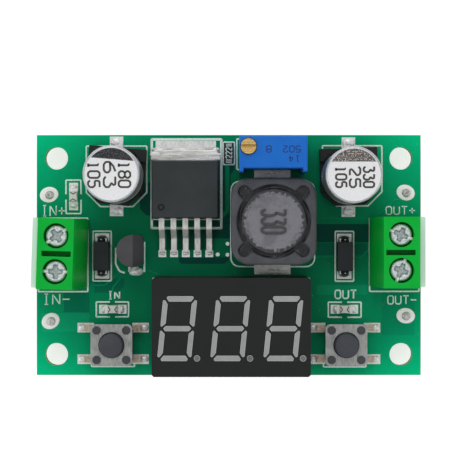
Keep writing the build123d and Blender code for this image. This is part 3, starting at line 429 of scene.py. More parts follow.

# %% [markdown]
# The terminal blocks are clear green plastic. Their outer lip is painted pale, a painted reflection of the
# white ground, and the block is painted darker lower down, painted shade in the slot between the screws and on
# the slopes. Both depend only on the place on the block.

# %% Terminal green
green_plastic = Finish("terminal_green")
green_plastic.set("Specular IOR Level", 0.15)
block_x, _, block_z = green_plastic.axes()
cloudy = green_plastic.noise(4.0, 2.0)
skin = green_plastic.noise(0.3, 2.0, offset=2.0)
body_green = green_plastic.mix(cloudy * 0.6 + skin * 0.4, tone(0, 160, 44), tone(2, 190, 66))
level_face = green_plastic.upward().over(0.6, 0.3)
from_middle = block_x.math("ABSOLUTE")
# Painted reflection: the outer lip turns pale where it faces the white ground.
lip = from_middle.over(27.05, 0.5) * (1.0 - block_z.over(board_top + 5.6, 0.4)) * level_face
lip_reflection = (lip * (from_middle - 26.2) * 0.72).math("MINIMUM", 1.0)
reflected_green = green_plastic.mix(lip_reflection, body_green, tone(226, 250, 238))
# Painted shade: below the top, in the slot and on the slopes, the green is darker.
low_shade = 1.0 - block_z.over(board_top + 8.6, 1.2)
shaded_green = green_plastic.mix(low_shade * (1.0 - lip) * 0.3, reflected_green, tone(0, 120, 10))
green_plastic.set("Base Color", shaded_green)
green_plastic.set("Roughness", cloudy * 0.2 + 0.26)
green_plastic.bump(skin + cloudy, 0.02)
print("block green made")

# %% [markdown]
# The coil's shield and core are fired ferrite: purple grey, porous, with worn dark patches. The
# core's round face is ground and paler, and its rim is chipped, so the pale tone fades where
# the radius nears the edge.

# %% Ferrite
ferrite = moulded_finish("ferrite_shield", (48, 51, 55), (88, 90, 95), 0.5, 0.16, 0.03, 1.6, (120, 116, 122))
core_x0, core_y0, _ = middle("inductor_core")
core_face = Finish("ground_core")
core_x, core_y, _ = core_face.axes()
core_u, core_v = core_x - core_x0, core_y - core_y0
core_radius = (core_u * core_u + core_v * core_v).math("SQRT")
ragged = core_face.noise(0.45, 3.0)
rim_wear = (core_radius + (ragged - 0.5) * 1.5).over(4.1, 0.22)
pitted = core_face.noise(0.9, 2.0, offset=4.0).over(0.56, 0.06)
pits = core_face.cells(0.5, 1.0).math("LESS_THAN", 0.1) * pitted
ground = core_face.mix(core_face.noise(0.16, 2.0), tone(98, 98, 105), tone(134, 134, 140))
stain = core_face.noise(2.2, 3.0, offset=8.0).over(0.58, 0.12) * 0.5
stained_face = core_face.mix(stain, ground, tone(84, 82, 88))
chipped = (rim_wear + pits).math("MINIMUM", 1.0)
core_face.set("Base Color", core_face.mix(chipped, stained_face, tone(52, 50, 55)))
core_face.set("Roughness", ragged * 0.2 + 0.4)
core_face.bump(ragged - rim_wear * 0.8 - pits, 0.06)
resin = moulded_finish("coil_resin", (10, 12, 14), (54, 56, 60), 0.24, 0.6, 0.05, 1.4)
print("core centre", round(core_x0, 2), round(core_y0, 2))

# %% [markdown]
# The switch covers are thin steel with a brushed skin that runs one way. Lines come from a
# noise that is stretched a lot along one axis.

# %% Brushed steel
cover_steel = Finish("brushed_cover", metallic=0.55)
lines = cover_steel.noise(0.07, 3.0, (1.0, 0.06, 1.0))
soil = cover_steel.noise(1.1, 3.0, offset=2.0)
brushed = lines * 1.3 + soil * 0.5 - 0.5
cover_steel.set("Base Color", cover_steel.mix(brushed, tone(112, 114, 112), tone(208, 211, 208)))
cover_steel.set("Roughness", soil * 0.2 + 0.36)
cover_steel.bump(lines, 0.02)
dome_steel = metal_finish("snap_dome", (150, 150, 152), (214, 214, 216), 0.25, 0.4, 0.005)
print("steel made")

# %% [markdown]
# The CAD pieces keep their meshes, and each gets its finish by name. Moving pieces keep their
# names too, so a button or a screw takes its finish here and moves in the poses.

# %% Paint the CAD pieces
finish_groups = [
    (mask, "circuit_board"),
    (solder, "wire_pad_solder underside_solder"),
    (tin, "solder_pads input_capacitor_leads output_capacitor_leads input_capacitor_can "
          "output_capacitor_can trimmer_pins lamp_ends input_diode_leads output_diode_leads "
          "small_regulator_leads display_pins controller_leads"),
    (base_plastic, "input_capacitor_base output_capacitor_base"),
    (mould, "regulator_body controller_body"),
    (wet_tab, "regulator_tab"),
    (lead_tin, "regulator_leads"),
    (ferrite, "inductor_shield"),
    (core_face, "inductor_core"),
    (copper, "inductor_winding"),
    (resin, "inductor_resin"),
    (strap_tin, "inductor_straps"),
    (blue_plastic, "trimmer_housing"),
    (brass, "trimmer_screw"),
    (resistor_mould, "resistor_bodies"),
    (end_caps, "resistor_ends"),
    (lamp_carrier, "lamp_bases lamp_lenses"),
    (diode_mould, "input_diode_body output_diode_body"),
    (small_mould, "small_regulator_body"),
    (display_plastic, "display_housing"),
    (segment_resin, "display_segments"),
    (back_resin, "display_back"),
]
paint = {node: finish for finish, nodes in finish_groups for node in nodes.split()}
paired = {
    "switch_base": rivet_plastic, "switch_legs": leg_tin, "switch_cover": cover_steel,
    "switch_button": button_plastic, "switch_dome": dome_steel,
    "terminal_housing": green_plastic, "terminal_contacts": tin,
    "lower_screw": zinc, "upper_screw": zinc, "lower_cage": cage_zinc, "upper_cage": cage_zinc,
}
for side in ("left", "right"):
    for part, finish in paired.items():
        paint[f"{side}_{part}"] = finish
for node, finish in paint.items():
    piece = frame["nodes"][node]
    piece.data.materials.clear()
    piece.data.materials.append(finish.material)
print("painted", len(paint), "bare", sorted(set(frame["nodes"]) - set(paint)))

# %% [markdown]
# New pieces are meshes in board coordinates whose object stays at the origin. One helper makes the object,
# names the body that it rides on and gives it its finish.

# %% Make a piece
def add_piece(name, mesh, finish, body="board", smooth=None):
    """Piece on a body; smooth is the angle in degrees above which an edge stays sharp."""
    if not mesh.materials:
        mesh.materials.append(finish.material)
    if smooth is not None:
        mesh.shade_smooth()
        mesh.set_sharp_from_angle(angle=math.radians(smooth))
    piece = bpy.data.objects.new(name, mesh)
    scene.collection.objects.link(piece)
    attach(piece, body)
    return piece


def drawn_mesh(name, points, faces):
    """Mesh from points in millimetres."""
    mesh = bpy.data.meshes.new(name)
    mesh.from_pydata([tuple(c * MM for c in p) for p in points], [], faces)
    mesh.update()
    return mesh


def round_angles(steps):
    """Equal steps of a whole turn, in radians."""
    return [2 * math.pi * i / steps for i in range(steps)]


def sleeve(first, rings, steps, downwards=False, closed=False):
    """Faces between rings of points that start at a first point; rings that go downwards turn them over."""
    faces = []
    for k in range(rings if closed else rings - 1):
        a, b = first + k * steps, first + (k + 1) % rings * steps
        for i in range(steps):
            j = (i + 1) % steps
            face = (a + i, a + j, b + j, b + i)
            faces.append(face[::-1] if downwards else face)
    return faces


def fan(tip, first, steps, downwards=False):
    """Faces between one tip and a ring of points; for a tip below its ring they turn over."""
    faces = [(tip, first + i, first + (i + 1) % steps) for i in range(steps)]
    return [face[::-1] for face in faces] if downwards else faces


def lathe(name, profile, centre=(0.0, 0.0), segments=64):
    """Round mesh from radius and height pairs, bottom axis point to top axis point."""
    cx, cy = centre
    rings = profile[1:-1]
    points = [(cx, cy, profile[0][1]), (cx, cy, profile[-1][1])]
    for radius, z in rings:
        points += [(cx + radius * math.cos(a), cy + radius * math.sin(a), z) for a in round_angles(segments)]
    last = 2 + (len(rings) - 1) * segments
    faces = fan(0, 2, segments, downwards=True) + sleeve(2, len(rings), segments) + fan(1, last, segments)
    return drawn_mesh(name, points, faces)


def arc(centre, radius, start, end, steps):
    """Points on an arc from one angle to another, in degrees."""
    angles = [math.radians(start + (end - start) * i / steps) for i in range(steps + 1)]
    return [(centre[0] + radius * math.cos(a), centre[1] + radius * math.sin(a)) for a in angles]


def set_down(points, centre, turn):
    """Points turned by degrees about their own origin and set down at a centre."""
    c, s = math.cos(math.radians(turn)), math.sin(math.radians(turn))
    return [(centre[0] + x * c - y * s, centre[1] + x * s + y * c) for x, y in points]


# %% [markdown]
# Real mouldings and stampings have no knife edges: light catches a small round on each. A
# copy of the CAD piece is merged, its flat faces are joined, and a Bevel modifier rounds the
# edges. The copy then stands for the CAD piece.

# %% Round the edges
weld, segments, sharp_angle = 0.002, 2, 32


def rounded_copy(node, width):
    """Bevelled copy of a CAD piece, on the same body; it stands for that piece."""
    source = frame["nodes"][node]
    mesh = source.data.copy()
    mesh.name = f"{node}_rounded"
    form = bmesh.new()
    form.from_mesh(mesh)
    bmesh.ops.remove_doubles(form, verts=form.verts, dist=weld * MM)
    bmesh.ops.dissolve_limit(form, angle_limit=math.radians(1), verts=form.verts, edges=form.edges)
    form.to_mesh(mesh)
    form.free()
    body = next(name for name, nodes in frame["record"]["behaviour"]["bodies"].items() if node in nodes)
    slot = next(part["material_slot"] for part in frame["record"]["subparts"] if part["node"] == node)
    piece = add_piece(f"{node}_rounded", mesh, paint[node], body, sharp_angle)
    bevel = piece.modifiers.new("round", "BEVEL")
    bevel.width = width * MM
    bevel.segments = segments
    bevel.limit_method = "ANGLE"
    bevel.angle_limit = math.radians(sharp_angle)
    bevel.harden_normals = True
    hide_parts(node)


edge_rounds = [
    (0.12, "display_housing left_terminal_housing right_terminal_housing"),
    (0.08, "regulator_body"),
    (0.12, "trimmer_housing"),
    (0.07, "left_switch_cover right_switch_cover"),
    (0.1, "inductor_core"),
    (0.12, "small_regulator_body"),
    (0.08, "input_capacitor_base output_capacitor_base"),
    (0.12, "input_diode_body output_diode_body"),
    (0.14, "regulator_tab"),
    (0.05, "lamp_lenses"),
    (0.04, "inductor_straps"),
    (0.05, "trimmer_screw"),
    (0.1, "left_switch_button right_switch_button"),
]
for width, nodes in edge_rounds:
    for node in nodes.split():
        rounded_copy(node, width)
print("rounded", sum(len(nodes.split()) for _, nodes in edge_rounds))

# %% [markdown]
# A thin ribbon serves for every printed line, stroke and copper trace: a path of points is
# turned into a curve, its corners are filleted, and a flat box is swept along it. The width,
# height and corner size are inputs, so one Geometry Nodes tree makes outlines, letters,
# figures and traces. A helper builds such a tree from a list of nodes and a list of links.

# %% Ribbon tree
def built_tree(name, inputs, kinds, links):
    """Geometry Nodes tree: its inputs, its nodes with settings and values, and rows of links."""
    tree = bpy.data.node_groups.new(name, "GeometryNodeTree")
    for title, kind in inputs:
        tree.interface.new_socket(title, in_out="INPUT", socket_type=f"NodeSocket{kind}")
    tree.interface.new_socket("Shapes", in_out="OUTPUT", socket_type="NodeSocketGeometry")
    nodes = {"given": tree.nodes.new("NodeGroupInput"), "result": tree.nodes.new("NodeGroupOutput")}
    for key, (kind, settings, values) in kinds.items():
        nodes[key] = tree.nodes.new(kind)
        for setting, value in settings.items():
            setattr(nodes[key], setting, value)
        for socket, value in values.items():
            nodes[key].inputs[socket].default_value = value
    for source, output, target, socket in links:
        tree.links.new(nodes[source].outputs[output], nodes[target].inputs[socket])
    return tree


real_and_finished = {
    "real": ("GeometryNodeRealizeInstances", {}, {}),
    "finish": ("GeometryNodeSetMaterial", {}, {}),
}
last_links = [
    ("real", "Geometry", "finish", "Geometry"),
    ("given", "Finish", "finish", "Material"),
    ("finish", "Geometry", "result", "Shapes"),
]
ribbons_from_paths = built_tree(
    "ribbon",
    [("Paths", "Geometry"), ("Width", "Float"), ("Height", "Float"), ("Corner", "Float"),
     ("Finish", "Material")],
    {
        "to_curve": ("GeometryNodeMeshToCurve", {}, {}),
        "fillet": ("GeometryNodeFilletCurve", {"mode": "POLY"}, {"Count": 4, "Limit Radius": True}),
        "upright": ("GeometryNodeSetCurveNormal", {"mode": "Z_UP"}, {}),
        "section": ("GeometryNodeCurvePrimitiveQuadrilateral", {}, {}),
        "sweep": ("GeometryNodeCurveToMesh", {}, {"Fill Caps": True}),
        **real_and_finished,
    },
    [
        ("given", "Paths", "to_curve", "Mesh"),
        ("to_curve", "Curve", "fillet", "Curve"),
        ("given", "Corner", "fillet", "Radius"),
        ("fillet", "Curve", "upright", "Curve"),
        ("upright", "Curve", "sweep", "Curve"),
        ("given", "Width", "section", "Width"),
        ("given", "Height", "section", "Height"),
        ("section", "Curve", "sweep", "Profile Curve"),
        ("sweep", "Mesh", "real", "Geometry"),
        *last_links,
    ])


def evaluated(name, source_mesh, tree, **inputs):
    """Runs a tree on a mesh and returns the plain mesh that it makes."""
    carrier = bpy.data.objects.new(name, source_mesh)
    scene.collection.objects.link(carrier)
    step = carrier.modifiers.new("tree", "NODES")
    step.node_group = tree
    for item in tree.interface.items_tree:
        if item.in_out == "INPUT" and item.name in inputs:
            step[item.identifier] = inputs[item.name]
    bpy.context.view_layer.update()
    made = bpy.data.meshes.new_from_object(carrier.evaluated_get(bpy.context.evaluated_depsgraph_get()))
    carrier.modifiers.remove(step)
    bpy.data.objects.remove(carrier)
    made.name = name
    return made


def ribbons(name, paths, finish, width, height, corner, z, body="board"):
    """Flat ribbons along open or closed paths of x, y points; a closed path repeats its first point."""
    points, edges = [], []
    for path in paths:
        closed = path[0] == path[-1] and len(path) > 2
        start = len(points)
        run = path[:-1] if closed else path
        points += [(x * MM, y * MM, z * MM) for x, y in run]
        edges += [(start + i, start + i + 1) for i in range(len(run) - 1)]
        if closed:
            edges.append((start + len(run) - 1, start))
    lines = bpy.data.meshes.new(f"{name}_paths")
    lines.from_pydata(points, edges, [])
    made = evaluated(name, lines, ribbons_from_paths, Width=width * MM, Height=height * MM, Corner=corner * MM,
                     Finish=finish.material)
    return add_piece(name, made, finish, body)


print("ribbon tree nodes", len(ribbons_from_paths.nodes))

# %% [markdown]
# Board print is a thick pale ink from a screen. It covers unevenly: a little green shows
# through it, most at its edges. Its strokes are 0.15 mm wide.

# %% Board ink
ink = Finish("board_ink")
thin = ink.noise(0.25, 3.0)
ink.set("Base Color", ink.mix(thin * 1.6 - 0.3, tone(178, 222, 204), tone(250, 255, 252)))
ink.set("Roughness", thin * 0.2 + 0.5)
ink.bump(thin, 0.01)


def corners(x0, y0, x1, y1):
    """Four corners of a box, counter-clockwise."""
    return [(x0, y0), (x1, y0), (x1, y1), (x0, y1)]


def box_path(x0, y0, x1, y1):
    """Closed path round a box."""
    return [*corners(x0, y0, x1, y1), (x0, y0)]


def bracket(x0, y0, x1, y1, share):
    """Two brackets that face each other along the longer side of a box."""
    if x1 - x0 > y1 - y0:
        a, b = x0 + (x1 - x0) * share, x1 - (x1 - x0) * share
        return [[(a, y0), (x0, y0), (x0, y1), (a, y1)], [(b, y0), (x1, y0), (x1, y1), (b, y1)]]
    a, b = y0 + (y1 - y0) * share, y1 - (y1 - y0) * share
    return [[(x0, a), (x0, y0), (x1, y0), (x1, a)], [(x0, b), (x0, y1), (x1, y1), (x1, b)]]


outlines = [
    [(-20.75, 9.3), (-20.75, 16.05), (-11.96, 16.05), (-11.96, 9.3), (-13.96, 7.26), (-18.7, 7.26),
     (-20.75, 9.3)],
    [(13.67, 9.4), (13.67, 16.1), (22.32, 16.1), (22.32, 9.4), (20.3, 7.36), (15.7, 7.36), (13.67, 9.4)],
    [(-11.23, 5.4), (-1.07, 5.4)],
    [(1.6, 17.1), (1.2, 17.1), (1.2, 12.65), (1.6, 12.65)],
    box_path(-0.79, 13.38, 0.83, 16.63),
    box_path(-11.05, -17.05, 11.75, -3.2),
    box_path(-19.79, -3.58, -17.14, 3.65),
    box_path(15.54, -3.62, 18.21, 3.63),
    box_path(-27.75, -5.14, -20.55, 5.55),
    box_path(20.55, -5.1, 27.75, 5.6),
    [(-20.0, -15.4), (-20.0, -16.05), (-13.73, -16.05), (-13.73, -15.4)],
    [(13.8, -15.4), (13.8, -16.1), (20.0, -16.1), (20.0, -15.4)],
    *bracket(-19.31, -8.84, -14.6, -6.66, 0.42),
    *bracket(14.51, -8.9, 19.29, -6.7, 0.42),
    *bracket(-23.72, 6.21, -21.54, 11.1, 0.42),
]
print_z = board_top + 0.015
ink_thickness = 0.03
ribbons("outline_print", outlines, ink, 0.23, ink_thickness, 0.12, print_z)
tab_frame = box_path(-11.23, 4.1, -1.07, 17.05)
ribbons("tab_outline_print", [tab_frame], ink, 0.36, ink_thickness, 0.1, print_z)
coil_frame = box_path(0.33, -1.5, 12.5, 10.9)
ribbons("coil_outline_print", [coil_frame], ink, 0.22, ink_thickness, 1.2, print_z)
flat_side = [[(-12.3, -2.31), (-12.3, 2.09)], [(-16.45, 1.25), (-16.5, -1.1), (-15.9, -2.2), (-15.15, -2.4)]]
ribbons("flat_side_print", flat_side, ink, 0.28, ink_thickness, 0.7, print_z)
print("outlines", len(outlines))

# %% [markdown]
# Letters and figures are drawn with strokes, as a plotter does it. Each glyph is a set of
# paths on a grid 4 wide and 6 high. Only plain words for the board's two ends and plain
# figures are set.

# %% Stroke letters
strokes = {
    "I": [[(1, 0), (3, 0)], [(2, 0), (2, 6)], [(1, 6), (3, 6)]],
    "N": [[(0, 0), (0, 6), (4, 0), (4, 6)]],
    "O": [[(1, 0), (3, 0), (4, 1), (4, 5), (3, 6), (1, 6), (0, 5), (0, 1), (1, 0)]],
    "U": [[(0, 6), (0, 1), (1, 0), (3, 0), (4, 1), (4, 6)]],
    "T": [[(0, 6), (4, 6)], [(2, 6), (2, 0)]],
    "+": [[(0, 3), (4, 3)], [(2, 1), (2, 5)]],
    "-": [[(0, 3), (4, 3)]],
    "0": [[(1, 0), (3, 0), (4, 1), (4, 5), (3, 6), (1, 6), (0, 5), (0, 1), (1, 0)]],
    "1": [[(1, 5), (2, 6), (2, 0)], [(1, 0), (3, 0)]],
    "2": [[(0, 5), (1, 6), (3, 6), (4, 5), (4, 4), (0, 0), (4, 0)]],
    "3": [[(0, 6), (4, 6), (2, 3.6), (3, 3.6), (4, 2.6), (4, 1), (3, 0), (1, 0), (0, 1)]],
    "4": [[(3, 0), (3, 6), (0, 2), (4, 2)]],
    "5": [[(4, 6), (0.4, 6), (0, 3.4), (3, 3.6), (4, 2.6), (4, 1), (3, 0), (1, 0), (0, 1)]],
    "6": [[(3.6, 6), (1.6, 5), (0, 3), (0, 1), (1, 0), (3, 0), (4, 1), (4, 2.4), (3, 3.4), (0.2, 3.2)]],
    "8": [[(1, 3.2), (0, 4.2), (0, 5), (1, 6), (3, 6), (4, 5), (4, 4.2), (3, 3.2), (1, 3.2)],
          [(1, 3.2), (0, 2.2), (0, 1), (1, 0), (3, 0), (4, 1), (4, 2.2), (3, 3.2)]],
}


def lettering(text, box, turn=0.0):
    """Strokes of a text that fill a box of width and height about its middle, then turned."""
    centre, (width, height) = box
    advance = width / (len(text) * 4 + (len(text) - 1) * 1.6)
    paths = []
    for i, glyph in enumerate(text):
        for path in strokes[glyph]:
            local = [((x + i * 5.6) * advance - width / 2, y * height / 6 - height / 2) for x, y in path]
            paths.append(set_down(local, centre, turn))
    return paths


def between(x0, x1, y0, y1):
    """Middle and size of a box, as lettering takes them."""
    return ((x0 + x1) / 2, (y0 + y1) / 2), (x1 - x0, y1 - y0)


def label(name, places, width):
    """Ink words that fill their boxes on the board; returns the number of strokes."""
    paths = [path for text, box in places for path in lettering(text, between(*box))]
    ribbons(name, paths, ink, width, ink_thickness, 0.05, print_z)
    return len(paths)


end_words = [("IN+", (-27.3, -23.9, 5.85, 7.4)), ("IN-", (-27.1, -23.2, -7.0, -5.5)),
             ("OUT+", (22.95, 27.15, 6.1, 7.25)), ("OUT-", (23.2, 27.35, -6.95, -5.75))]
lamp_words = [("IN", (-17.6, -15.92, -6.2, -5.15)), ("OUT", (15.5, 18.6, -6.15, -4.95))]
print("word strokes", label("end_words", end_words, 0.17) + label("lamp_words", lamp_words, 0.22))


# %% [markdown]
# The two electrolytic cans are drawn aluminium cups: a rounded top edge, a rolled groove that
# grips the rubber bung, and a thin coat on the top with a dark band for the negative side.
# A lathe profile gives the round edge and the groove, which the CAD can shows with flats.

# %% Can finish
def can_finish(name, centre, tilt, band_edge, dark, light):
    """Coated can: the band covers what lies beyond band_edge along the turned y axis."""
    coat = Finish(name)
    x, y, z = coat.axes()
    dx, dy = x - centre[0], y - centre[1]
    along = dy * math.cos(math.radians(tilt)) - dx * math.sin(math.radians(tilt))
    radius = (dx * dx + dy * dy).math("SQRT")
    top_face = z.over(board_top + 9.9, 0.1)
    grain = coat.noise(0.16, 2.0)
    sparkle = coat.noise(0.4, 3.0, offset=7.0)
    band = (along + grain * 0.12).over(band_edge, 0.08) * (1.0 - radius.over(3.62, 0.06)) * top_face
    rim = radius.over(3.7, 0.12) * top_face
    pale = coat.mix(sparkle, tone(222, 224, 226), tone(246, 247, 248))
    speckled = coat.mix(grain.over(0.56, 0.12), tone(*dark), tone(*light))
    wall = coat.mix(coat.noise(1.2, 2.0, (1.0, 1.0, 0.15)), tone(176, 178, 182), tone(222, 224, 226))
    silver = coat.mix(sparkle, tone(150, 152, 156), tone(214, 216, 220))
    face = coat.mix(rim, coat.mix(band, pale, speckled), silver)
    coat.set("Base Color", coat.mix(top_face, wall, face))
    coat.set("Metallic", (1.0 - top_face) * 0.95 + rim * 0.6)
    coat.set("Roughness", sparkle * 0.15 + (0.3 + band * 0.25))
    coat.bump(grain * band + coat.noise(0.5, 2.0, offset=3.0) * 0.4, 0.02)
    return coat


# %% Turn the cans
foot_round, crown_round = 0.25, 0.32
groove_up, groove_half, groove_depth = 1.2, 0.45, 0.36
groove_steps, crown_steps, can_segments = 8, 7, 96
top_dish = 0.03


def rounded_can(node, finish):
    """Can turned on a lathe; returns its middle and the height of its top face."""
    (x0, y0, z0), (x1, y1, z1) = extent(node)
    radius = (x1 - x0) / 2
    centre = ((x0 + x1) / 2, (y0 + y1) / 2)
    face_z = z1 - top_dish
    profile = [(0, z0), (radius - 0.35, z0)]
    for a in (0.5, 1.1, 1.57):
        profile.append((radius - foot_round * (1 - math.sin(a)), z0 + foot_round * (1 - math.cos(a))))
    for k in range(groove_steps + 1):
        a = math.pi * k / groove_steps
        profile.append((radius - groove_depth * math.sin(a) ** 1.5, z0 + groove_up - groove_half * math.cos(a)))
    for k in range(1, crown_steps + 1):
        a = math.pi / 2 * k / crown_steps
        profile.append((radius - crown_round * (1 - math.cos(a)), z1 - crown_round * (1 - math.sin(a))))
    profile += [(radius - 0.38, z1 - 0.01), (radius - 0.44, face_z), (0, face_z)]
    mesh = lathe(f"{node}_rounded", profile, centre, can_segments)
    piece = add_piece(f"{node}_rounded", mesh, finish, smooth=30)
    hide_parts(node)
    return centre, face_z


can_coats = {
    "input": (-4.7, 2.1, (16, 16, 18), (84, 84, 88)),
    "output": (0.0, 1.86, (72, 66, 62), (196, 190, 184)),
}
can_tops = {}
for side, coat in can_coats.items():
    node = f"{side}_capacitor_can"
    can_tops[side] = rounded_can(node, can_finish(f"{side}_can_coat", middle(node), *coat))
print("can tops", can_tops)

# %% [markdown]
# The cans carry plain figures in black ink: a capacitance, a voltage and a size, as such parts
# do. They stand in three columns and are read downwards.

# %% Can figures
def ink_finish(name, dark, light, grain, roughness):
    """Print or burn mark that covers unevenly."""
    finish = Finish(name)
    cover = finish.noise(grain, 2.0)
    finish.set("Base Color", finish.mix(cover, tone(*dark), tone(*light)))
    finish.set("Roughness", cover * 0.2 + roughness)
    return finish


black_ink = ink_finish("black_ink", (34, 30, 28), (84, 76, 70), 0.2, 0.4)


figure_columns = {
    "input": ([("180", 1.86), ("63", -0.22), ("105", -2.4)], 1.6, (-1.85, 1.65)),
    "output": ([("330", 2.05), ("25", 0.12), ("105", -1.8)], 1.45, (-1.75, 1.1)),
}
for side, (columns, glyph, (start, end)) in figure_columns.items():
    (cx, cy), can_top = can_tops[side]
    paths = []
    for figures, aside in columns:
        paths += lettering(figures, ((cx + aside, cy + (start + end) / 2), (end - start, glyph)), -90.0)
    ribbons(f"{side}_can_figures", paths, black_ink, 0.27, ink_thickness, 0.2, can_top + 0.012)
    print(side, "can strokes", len(paths))

# %% [markdown]
# Molten solder pulls itself into a low mound that wets both the pad and the lead. One mound is
# a small dome one millimetre wide. Geometry Nodes place it on points that carry a size and a
# turn, so the solder on pads, tab, legs and leads all comes from one shape.

# %% Place copies on points
named_vector = ("GeometryNodeInputNamedAttribute", {"data_type": "FLOAT_VECTOR"})
copies_of_shape = built_tree(
    "copies",
    [("Places", "Geometry"), ("Shape", "Object"), ("Finish", "Material")],
    {
        "shape": ("GeometryNodeObjectInfo", {}, {}),
        "turn": (*named_vector, {"Name": "turn"}),
        "size": (*named_vector, {"Name": "size"}),
        "to_rotation": ("FunctionNodeEulerToRotation", {}, {}),
        "place": ("GeometryNodeInstanceOnPoints", {}, {}),
        **real_and_finished,
    },
    [
        ("given", "Places", "place", "Points"),
        ("given", "Shape", "shape", "Object"),
        ("shape", "Geometry", "place", "Instance"),
        ("turn", "Attribute", "to_rotation", "Euler"),
        ("to_rotation", "Rotation", "place", "Rotation"),
        ("size", "Attribute", "place", "Scale"),
        ("place", "Instances", "real", "Geometry"),
        *last_links,
    ])


def copies(name, shape_mesh, rows, finish, body="board", smooth=40):
    """Rows hold x, y, z, length, width, height and turn in degrees about Z, in millimetres."""
    shape = bpy.data.objects.new(f"{name}_shape", shape_mesh)
    scene.collection.objects.link(shape)
    spots = bpy.data.meshes.new(f"{name}_spots")
    spots.from_pydata([tuple(c * MM for c in row[:3]) for row in rows], [], [])
    turn = spots.attributes.new("turn", "FLOAT_VECTOR", "POINT")
    size = spots.attributes.new("size", "FLOAT_VECTOR", "POINT")
    for i, row in enumerate(rows):
        turn.data[i].vector = (0.0, 0.0, math.radians(row[6]))
        size.data[i].vector = row[3:6]
    made = evaluated(name, spots, copies_of_shape, Shape=shape, Finish=finish.material)
    bpy.data.objects.remove(shape)
    return add_piece(name, made, finish, body, smooth)


def mound(name, power=2.6, rings=5, segments=20):
    """Low dome one millimetre long, wide and high, on a rounded rectangle."""
    points = [(0.0, 0.0, 1.0)]
    for k in range(1, rings + 1):
        share = k / rings
        for angle in round_angles(segments):
            c, s = math.cos(angle), math.sin(angle)
            reach = 0.5 * share / (abs(c) ** power + abs(s) ** power) ** (1 / power)
            points.append((reach * c, reach * s, (1 - share ** 2) ** 0.8))
    faces = fan(0, 1, segments) + sleeve(1, rings, segments, downwards=True)
    faces.append(tuple(1 + (rings - 1) * segments + i for i in reversed(range(segments))))
    return drawn_mesh(name, points, faces)


# %% Solder on the pads
mounds = []


def pad_solder(x, y, length, width, height, turn=0.0):
    """Notes one mound, which starts just below the pads' top."""
    mounds.append((x, y, pad_top - 0.01, length, width, height, turn))


def solder_both_ends(node, inwards, length, width, height):
    """Mounds at the near and far end of a pair of leads, moved inwards from their box."""
    (x0, y0, _), (x1, y1, _) = extent(node)
    for y in (y1 - inwards, y0 + inwards):
        pad_solder((x0 + x1) / 2, y, length, width, height)


for side in ("input", "output"):
    solder_both_ends(f"{side}_capacitor_leads", 0.1, 1.9, 1.3, 0.3)
    solder_both_ends(f"{side}_diode_leads", 0.0, 1.9, 1.1, 0.3)
(lead_x0, foot, _), (lead_x1, _, _) = extent("regulator_leads")
lead_lines = [lead_x0 + 0.4 + (lead_x1 - lead_x0 - 0.8) * k / 4 for k in range(5)]
for x in lead_lines:
    pad_solder(x, foot - 0.25, 1.0, 0.62, 0.24)
(strap_x0, _, _), (strap_x1, _, _) = extent("inductor_straps")
solder_both_ends("inductor_straps", 0.25, strap_x1 - strap_x0 + 0.1, 1.1, 0.26)
resistor_x, resistor_y = 0.02, 15.02
lamp_places = [((-22.62, 8.72), 90.0), ((-16.9, -7.72), 0.0), ((16.87, -7.72), 0.0)]
for centre, along in lamp_places:
    for x, y in set_down([(-1.3, 0.0), (1.3, 0.0)], centre, along):
        pad_solder(x, y, 0.8, 1.2, 0.42, along)
copies("pad_solder", mound("solder_mound"), mounds, solder)
print("pad mounds", len(mounds))
mounds.clear()
for side in ("left", "right"):
    (x0, y0, _), (x1, y1, _) = extent(f"{side}_switch_legs")
    for x in (x0 + 0.2, x1 - 0.2):
        for y in (y0 + 0.4, y1 - 0.4):
            pad_solder(x, y, 1.3, 1.15, 0.3)
copies("switch_leg_solder", mound("leg_mound"), mounds, solder)
print("leg mounds", len(mounds))

# %% [markdown]
# Wires are soldered into the four oval pads, but none is fitted yet. Each pad is a flat tinned
# oval, and in its middle stands a bump of solder that has sunk a little. Both are lathed, and
# their copies' sizes make them oval. Below the board one drop serves for pad and bump. They
# stand for the CAD solder.

# %% Wire pads
wire_pads = [(-26.2, 8.98, 12.0), (25.8, 9.29, -20.0), (-25.97, -9.43, 30.0), (25.8, -8.66, -8.0)]
oval_length, oval_width, drop_steps = 2.7, 2.25, 28
rim_profile = [(0, -0.02), (0.5, -0.02), (0.5, 0.05), (0.46, 0.1), (0.34, 0.12), (0, 0.12)]
rim = lathe("oval_rim", rim_profile, segments=drop_steps)
rims_at = [(x, y, board_top, oval_length, oval_width, 1.0, turn) for x, y, turn in wire_pads]
# The ovals take the plain white shine: pale tin with a painted highlight.
wire_drops = copies("wire_pad_drops", rim, rims_at, shine)
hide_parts("wire_pad_solder")
bump_profile = [(0, 0.06), (0.3, 0.06), (0.3, 0.14), (0.25, 0.32), (0.16, 0.42), (0.07, 0.4), (0, 0.36)]
bump = lathe("oval_bump", bump_profile, segments=drop_steps)
bumps_at = [(x + 0.08, y - 0.06, board_top, 2.2, 2.1, 1.0, turn) for x, y, turn in wire_pads]
bump_tin = metal_finish("bump_tin", (116, 106, 108), (236, 234, 232), 0.3, 0.3, 0.04, metallic=0.3)
copies("wire_pad_bumps", bump, bumps_at, bump_tin)
drop_profile = [(0, -0.36), (0.06, -0.4), (0.14, -0.46), (0.24, -0.42), (0.31, -0.3), (0.36, -0.14),
                (0.46, -0.12), (0.5, -0.05), (0.5, 0.02), (0, 0.02)]
drop = lathe("oval_drop_below", drop_profile, segments=drop_steps)
drops_at = [(x, y, 0.0, oval_length, oval_width, 1.0, turn) for x, y, turn in wire_pads]
copies("wire_pad_drops_below", drop, drops_at, solder)
print("wire pads", len(wire_pads))
